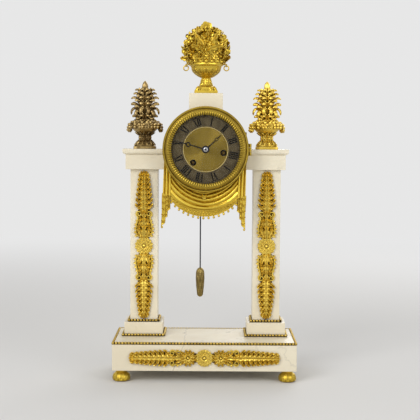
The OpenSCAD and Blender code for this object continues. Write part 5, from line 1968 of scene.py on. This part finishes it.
@dataclass
class VaseTop(Growth):
    """The vase of flowers over the dial."""

    seed: int = 5
    squash: float = 0.8
    heart_rise: float = 16.0
    ball: float = 33.5
    crown: float = 37.0
    rows: tuple[int, ...] = (106, 97, 87, 76, 64, 52, 40, 28, 15)
    spacing: float = 8.8
    foot: float = field(init=False)
    rim: float = field(init=False)
    heart: float = field(init=False)

    def build(self) -> None:
        """Dresses the vase and models its flowers."""
        self.axis = Vector((0.0, middle("vase").y, 0.0))
        self.foot, self.rim = (corner.z for corner in box_mm("vase"))
        self.heart = self.rim + self.heart_rise
        self._leaves()
        self._flowers()

    def _leaves(self) -> None:
        """Chases bands of leaves on the vase's bowl and stem, and lays leaves on its foot."""
        work, foot = Chaser("vase", self.axis), self.foot
        self.cast = work.cast
        work.band(foot + 22.4, foot + 31.0, 14, 1.3)
        work.band(foot + 26.0, foot + 35.0, 14, 1.0, 0.5)
        work.band(foot + 8.6, foot + 16.0, 9, 1.2)
        work.band(foot + 13.0, foot + 21.0, 9, 1.0, 0.5)
        for k in range(12):
            a = math.radians(30 * k)
            reach = 14.2 / max(abs(math.cos(a)), abs(math.sin(a)))
            self._put(Motif.LEAF, 30 * k, reach, foot + 2.6, -36.0, (7.6, 9.0, 2.0))
        self.foundry.casting("vase_leaves", self.cast, self.finish.soft_gilt)

    def _spring(self, fall: float, bearing: float, reach: float, lean: float, roll: float = 0.0) -> Matrix:
        """Gives a place on the ball of flowers, growing out from its heart.

        Args:
            fall: degrees down from the top.
            bearing: degrees round the axis.
            reach: millimetres from the heart.
            lean: degrees that the motif lies over, 90 to face outwards.
            roll: degrees that it is turned about its own stem.

        Returns:
            The matrix of the place.
        """
        down, a = math.radians(min(fall, 90)), math.radians(bearing)
        out = Vector((math.sin(down) * math.cos(a), math.sin(down) * math.sin(a) * self.squash,
                      math.cos(down) * self.crown / self.ball))
        place = self.axis + (self.heart - 0.6 * max(fall - 90, 0)) * UP + out * reach
        side = Vector((-math.sin(a), math.cos(a), 0))
        stem = out.normalized()
        side = (side - stem * side.dot(stem)).normalized()
        faced = Matrix((side, stem, side.cross(stem))).transposed().to_4x4()
        return Matrix.Translation(place) @ faced @ turn_by(roll, "Y") @ turn_by(-lean, "X")

    def _flowers(self) -> None:
        """Models the flowers over their dark heart, which paints the shade between them."""
        self.cast = Cast()
        self._ball()
        self._fans()
        self._collar()
        self.foundry.casting("vase_flowers", self.cast, self.finish.soft_gilt, stands_for=("vase_bouquet",))
        # The heart is cast in the near-black shadow gilding: painted shade in the gaps between the flowers.
        heart = Cast()
        flat = Matrix.Translation(self.axis) @ Matrix.Diagonal((1.0, self.squash, 1.0, 1.0))
        core = [(0.78 * self.ball * math.sin(a), self.heart - 0.7 * self.crown * math.cos(a), 1.0)
                for a in (math.pi * (0.5 + 0.49 * k / 8) for k in range(9))]
        heart.lathe([(21.0, self.rim - 0.4, 0.9), (24.0, self.rim + 3.0, 1.0)] + core, 28, flat,
                    lambda a, z: 1 + 0.05 * math.sin(7 * a + z))
        self.foundry.casting("vase_flower_heart", heart, self.finish.heart)

    def _ball(self) -> None:
        """Lays rows of leaves, flowers and berries over the ball, and thins them behind the fans."""
        dice = random.Random(self.seed)
        for row, fall in enumerate(self.rows):
            wide = math.sin(math.radians(min(fall, 90)))
            count = max(7, round(2 * math.pi * self.ball * wide / self.spacing))
            lowest = row == 0
            for k in range(count):
                bearing = 360 * (k + 0.5 * (row % 2)) / count + dice.uniform(-3, 3)
                facing = abs(math.sin(math.radians(bearing)))
                if lowest and facing > 0.65:
                    continue
                behind = fall < 64 and facing > 0.8
                at = self._spring(fall + dice.uniform(-4, 4), bearing, (0.56 if behind else 0.74) * self.ball,
                                  dice.uniform(30, 58), dice.uniform(-75, 75))
                self.cast.put(Motif.LEAF, at, dice.uniform(8.0, 9.5), dice.uniform(12.0, 14.0), 2.4)
                berry = (k + row) % 6 == 0
                size = dice.uniform(9.6, 11.8) * (0.72 if berry else 1.0)
                reach = 0.68 if behind else (0.78 if lowest else 0.86)
                at = self._spring(fall + 5, bearing + 180 / count, reach * self.ball,
                                  90 + dice.uniform(-12, 12))
                self.cast.put(Motif.BERRY if berry else Motif.FLOWER, at, size, size, 4.6)

    def _fans(self) -> None:
        """Lays a fan of leaves with flowers in front and behind, and a large flower over each."""
        leaves = ((72, 10.0, 23), (34, 10.5, 28), (11, 6.5, 26))
        for bearing in (-90, 90):
            for turn, wide, long in leaves:
                root = round_axis(self.axis, bearing, 25.0, self.heart + 1.0, -17.0 + 0.06 * turn)
                for sign in SIGNS:
                    self.cast.put(Motif.LEAF, root @ turn_by(sign * turn), wide, long, 2.6)
            for turn in (-40, 0, 40):
                self._put(Motif.FLOWER, bearing + turn, 22.5, self.heart, 10.0, (10.0, 10.0, 5.0))
            top = round_axis(self.axis, bearing, 3.4, self.heart + 33.8, -8.0)
            self.cast.put(Motif.FLOWER, top, 17.5, 17.5, 7.0)
            self.cast.put(Motif.BERRY, top @ Matrix.Translation((0, 0, 2.6)), 5.0, 5.0, 4.0)

    def _collar(self) -> None:
        """Lays leaves and berries round the vase's rim, and five leaves under the top flowers."""
        for k in range(18):
            self._put(Motif.LEAF, 20 * k, 22.5, self.rim, 12.0, (8.6, 12.0, 2.4))
            self._put(Motif.BERRY, 20 * k + 10, 23.5, self.rim + 2.0, 0.0, (6.0, 6.0, 6.0))
        for k in range(5):
            self._put(Motif.LEAF, 36 + 72 * k, 5.0, self.heart + 24.0, 26.0, (8.0, 12.5, 2.2))


@dataclass
class Finial(Growth):
    """A basket of fruit under a tall plume of curling fronds."""

    side: Side
    seed: int = 11

    def build(self) -> None:
        """Models the finial's foot, basket and plume."""
        node = f"{self.side.name.lower()}_finial"
        self.axis = middle(node)
        self.axis.z = box_mm(node)[0].z
        self.cast = Cast()
        self._foot()
        self._basket()
        self._plume()
        finish = self.finish.antique if self.side is Side.LEFT else self.finish.gilt
        self.foundry.casting(node + "_cast", self.cast, finish, stands_for=(node,))

    def _foot(self) -> None:
        """Models the square foot with its four scrolled corners."""
        def square(angle: float, height: float) -> float:
            """Squares the foot, less so above its plinth.

            Args:
                angle: radians round the axis.
                height: millimetres up.

            Returns:
                The radius factor.
            """
            c, s = abs(math.cos(angle)), abs(math.sin(angle))
            power = 9.0 if height < 4.5 else 4.0
            return 1.0 / (c ** power + s ** power) ** (1 / power)
        foot = [(15.8, 0, 0.3), (15.8, 3.4, 0.0), (14.8, 4.0, 0.9), (14.9, 5.2, 0.2), (13.6, 6.8, 0.5),
                (11.2, 9.0, 0.5), (9.4, 10.6, 0.3), (8.4, 11.8, 0.8)]
        self.cast.lathe(foot, 48, Matrix.Translation(self.axis), square)
        for k in range(4):
            bearing = 45 + 90 * k
            coil = round_axis(self.axis, bearing, 16.2, 6.4) @ turn_by(90, "Y")
            self.cast.put(Motif.SCROLL, coil @ Matrix.Translation((0, 0, -1.9)), 5.6, 5.6, 5.0)
            self._put(Motif.LEAF, bearing, 17.0, 5.4, -50.0, (7.4, 9.6, 2.0))
            self._put(Motif.LEAF, bearing + 45, 14.6, 4.6, -42.0, (9.0, 10.5, 1.8))
            for turn in (-22, 22):
                self._put(Motif.LEAF, bearing + 45 + turn, 15.4, 4.6, -46.0, (6.0, 9.0, 1.6))

    def _basket(self) -> None:
        """Models the ribbed stem, the bowl and the fruit that spills over it."""
        dice = random.Random(self.seed)
        home = Matrix.Translation(self.axis)
        bowl = [(8.4, 10.6, 0.8), (8.9, 11.8, 0.0), (7.8, 13.4, 0.6), (7.6, 17.2, 0.4), (8.6, 19.0, 0.0),
                (8.6, 20.0, 0.5), (11.4, 22.2, 0.1), (14.6, 24.8, 0.0), (17.2, 27.6, 0.1), (18.8, 30.6, 0.6)]
        # The heap's foot is marked fully recessed: painted shade under the fruit.
        heap = [(17.0, 30.2, 1.0), (19.6, 29.4, 0.6), (21.4, 29.6, 0.4), (22.6, 31.4, 0.4), (22.6, 33.2, 0.5),
                (21.4, 35.6, 0.6), (18.2, 38.0, 0.7), (13.5, 40.0, 0.8), (8.0, 41.6, 0.9)]
        self.cast.lathe(bowl, 32, home, lambda a, z: 1 + (0.07 * math.cos(16 * a) if 13 < z < 20 else 0.0))
        self.cast.lathe(heap, 40, home, lambda a, z: 1 + 0.05 * math.cos(2 * a))
        for k in range(12):
            self._put(Motif.LEAF, 30 * k, 8.4, 19.4, 50.0, (5.0, 7.6, 1.4))
            self._put(Motif.LEAF, 30 * k, 7.9, 11.8, -2.0, (4.2, 7.6, 1.3))
        rings = ((23.6, 27.6, 26), (23.4, 31.2, 25), (22.4, 34.8, 23), (19.2, 37.7, 20), (15.2, 39.8, 16),
                 (11.0, 41.0, 12))
        for ring, (reach, height, count) in enumerate(rings):
            for k in range(count):
                bearing = 360 * (k + 0.5 * (ring % 2)) / count + dice.uniform(-3, 3)
                size = dice.uniform(4.4, 5.8)
                lean = -lerp(0, 75, ring / 5)
                side = abs(math.cos(math.radians(bearing)))
                if ring == 0 and side < 0.8:
                    continue
                out = reach - 0.8 + (0.9 * side if ring < 3 else 0.0)
                if (k + ring) % 4 == 0:
                    self._put(Motif.FLOWER, bearing, out, height - 0.6, lean, (size + 1.4, size + 1.4, 4.0))
                else:
                    self._put(Motif.BERRY, bearing, out, height - 0.8, lean, (size, size, size))
        for bearing in (0, 180):
            for turn in (-24, 0, 24):
                self._put(Motif.PETAL, bearing + turn, 22.6, 33.0, 168.0, (9.0, 9.6, 3.0))

    def _plume(self) -> None:
        """Models the core, its leaflets, the fronds in tiers and the bud."""
        # The core is marked recessed below its bud: painted shade behind the leaflets and fronds.
        core = [(7.6, 40.0, 0.9), (7.8, 50.0, 0.8), (7.0, 62.0, 0.8), (5.6, 74.0, 0.8), (3.8, 82.0, 0.7),
                (3.4, 84.0, 0.9), (4.3, 87.0, 0.1), (4.0, 90.5, 0.0), (2.4, 94.0, 0.0), (0.4, 96.0, 0.0)]
        self.cast.lathe(core, 16, Matrix.Translation(self.axis), lambda a, z: 1 + 0.04 * math.cos(8 * a))
        for tier in range(10):
            for k in range(8):
                bearing, reach = 45 * (k + 0.5 * (tier % 2)), lerp(8.2, 4.4, tier / 9)
                self._put(Motif.LEAF, bearing, reach, 40.5 + 4.2 * tier, 24.0, (6.8, 9.4, 2.2))
        tiers = (Motif.FROND_LOW, Motif.FROND_ARCH, Motif.FROND_BULB, Motif.FROND_WIDE, Motif.FROND_HIGH,
                 Motif.FROND_TOP)
        spread = (((0, 180), 0.0, 1.0), ((38, 142, -38, -142), -3.4, 0.88), ((64, 116, -64, -116), 0.6, 0.72))
        for bearings, lift, depth in spread:
            for bearing in bearings:
                for motif in tiers:
                    self._put(motif, bearing, 0, lift, 0, (1.0, 1.0, depth))


@dataclass
class SmallChasing(Work):
    """Chased leaves on the bun feet and on the pendulum's bob."""

    petals: int = 12
    foot_radius: float = 12.0

    def build(self) -> None:
        """Lays rows of leaves on the feet and the bob."""
        low, high = box_mm("feet")
        r = self.foot_radius
        for name, x in (("left", low.x + r), ("right", high.x - r)):
            for end, y in (("front", low.y + r), ("back", high.y - r)):
                work = Chaser("feet", Vector((x, y, 0)))
                work.band(4.6, 11.6, self.petals, 0.6)
                work.band(1.0, 5.8, self.petals, 0.5, 0.5)
                self.foundry.casting(f"{name}_{end}_foot_leaves", work.cast, self.finish.soft_gilt)
        low, high = box_mm("pendulum_bob")
        spot = middle("pendulum_bob")
        work = Chaser("pendulum_bob", Vector((spot.x, spot.y, 0)))
        for k, share in enumerate((0.05, 0.27, 0.49, 0.71)):
            work.band(lerp(low.z, high.z, share), lerp(low.z, high.z, share + 0.25), 8, 0.5, 0.5 * (k % 2))
        self.foundry.casting("bob_leaves", work.cast, self.finish.bob, body="pendulum")


@dataclass
class CadDress(Work):
    """Finishes for the solids that show as they are."""

    def build(self) -> None:
        """Gives every node its finish, by its own name or its material slot."""
        f = self.finish
        by_slot = {"marble": f.marble, "ormolu": f.soft_gilt, "movement_brass": f.brass, "steel": f.steel,
                   "blued_steel": f.blued, "silvered_ring": f.silvered, "bell_metal": f.bell, "silk": f.silk,
                   "dial_glass": f.glass}
        # The bezel and the drum take the darker bezel gilding, and the winding arbors the shadow gilding:
        # painted shade.
        by_name = {"dial_plate": f.dial, "pendulum_bob": f.bob, "pendulum_rod": f.blued, "bezel": f.bezel,
                   "drum_case": f.bezel, "going_arbor": f.heart, "strike_arbor": f.heart}
        slots = {row["node"]: row["material_slot"] for row in frame["record"]["subparts"]}
        for node, solid in frame["nodes"].items():
            finish = by_name.get(node) or by_slot[slots.get(node, "ormolu")]
            solid.data.materials.clear()
            solid.data.materials.append(finish)
            LOG.info("%s: %s", node, finish.name)


def main() -> None:
    """Builds the studio, dresses the solids and models every ornament."""
    logging.basicConfig(level=logging.INFO, format="%(message)s")
    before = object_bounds()
    foundry = Foundry(Finishes.build(middle("chapter_ring") * MM))
    Studio().build()
    kinds = (CadDress, MarbleCase, BeadTrims, PlinthMount, Drapery, DialFace, BackDoor, VaseTop, SmallChasing)
    parts: list[Work] = [kind(foundry) for kind in kinds]
    for side in Side:
        parts += [ColumnMount(foundry, side), Finial(foundry, side)]
    for part in parts:
        part.build()
    foundry.clear()
    boxes = {"cad": before, "visual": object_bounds()}
    {name: [list(corner) for corner in box] for name, box in boxes.items()}


if __name__ == "__main__":
    main()
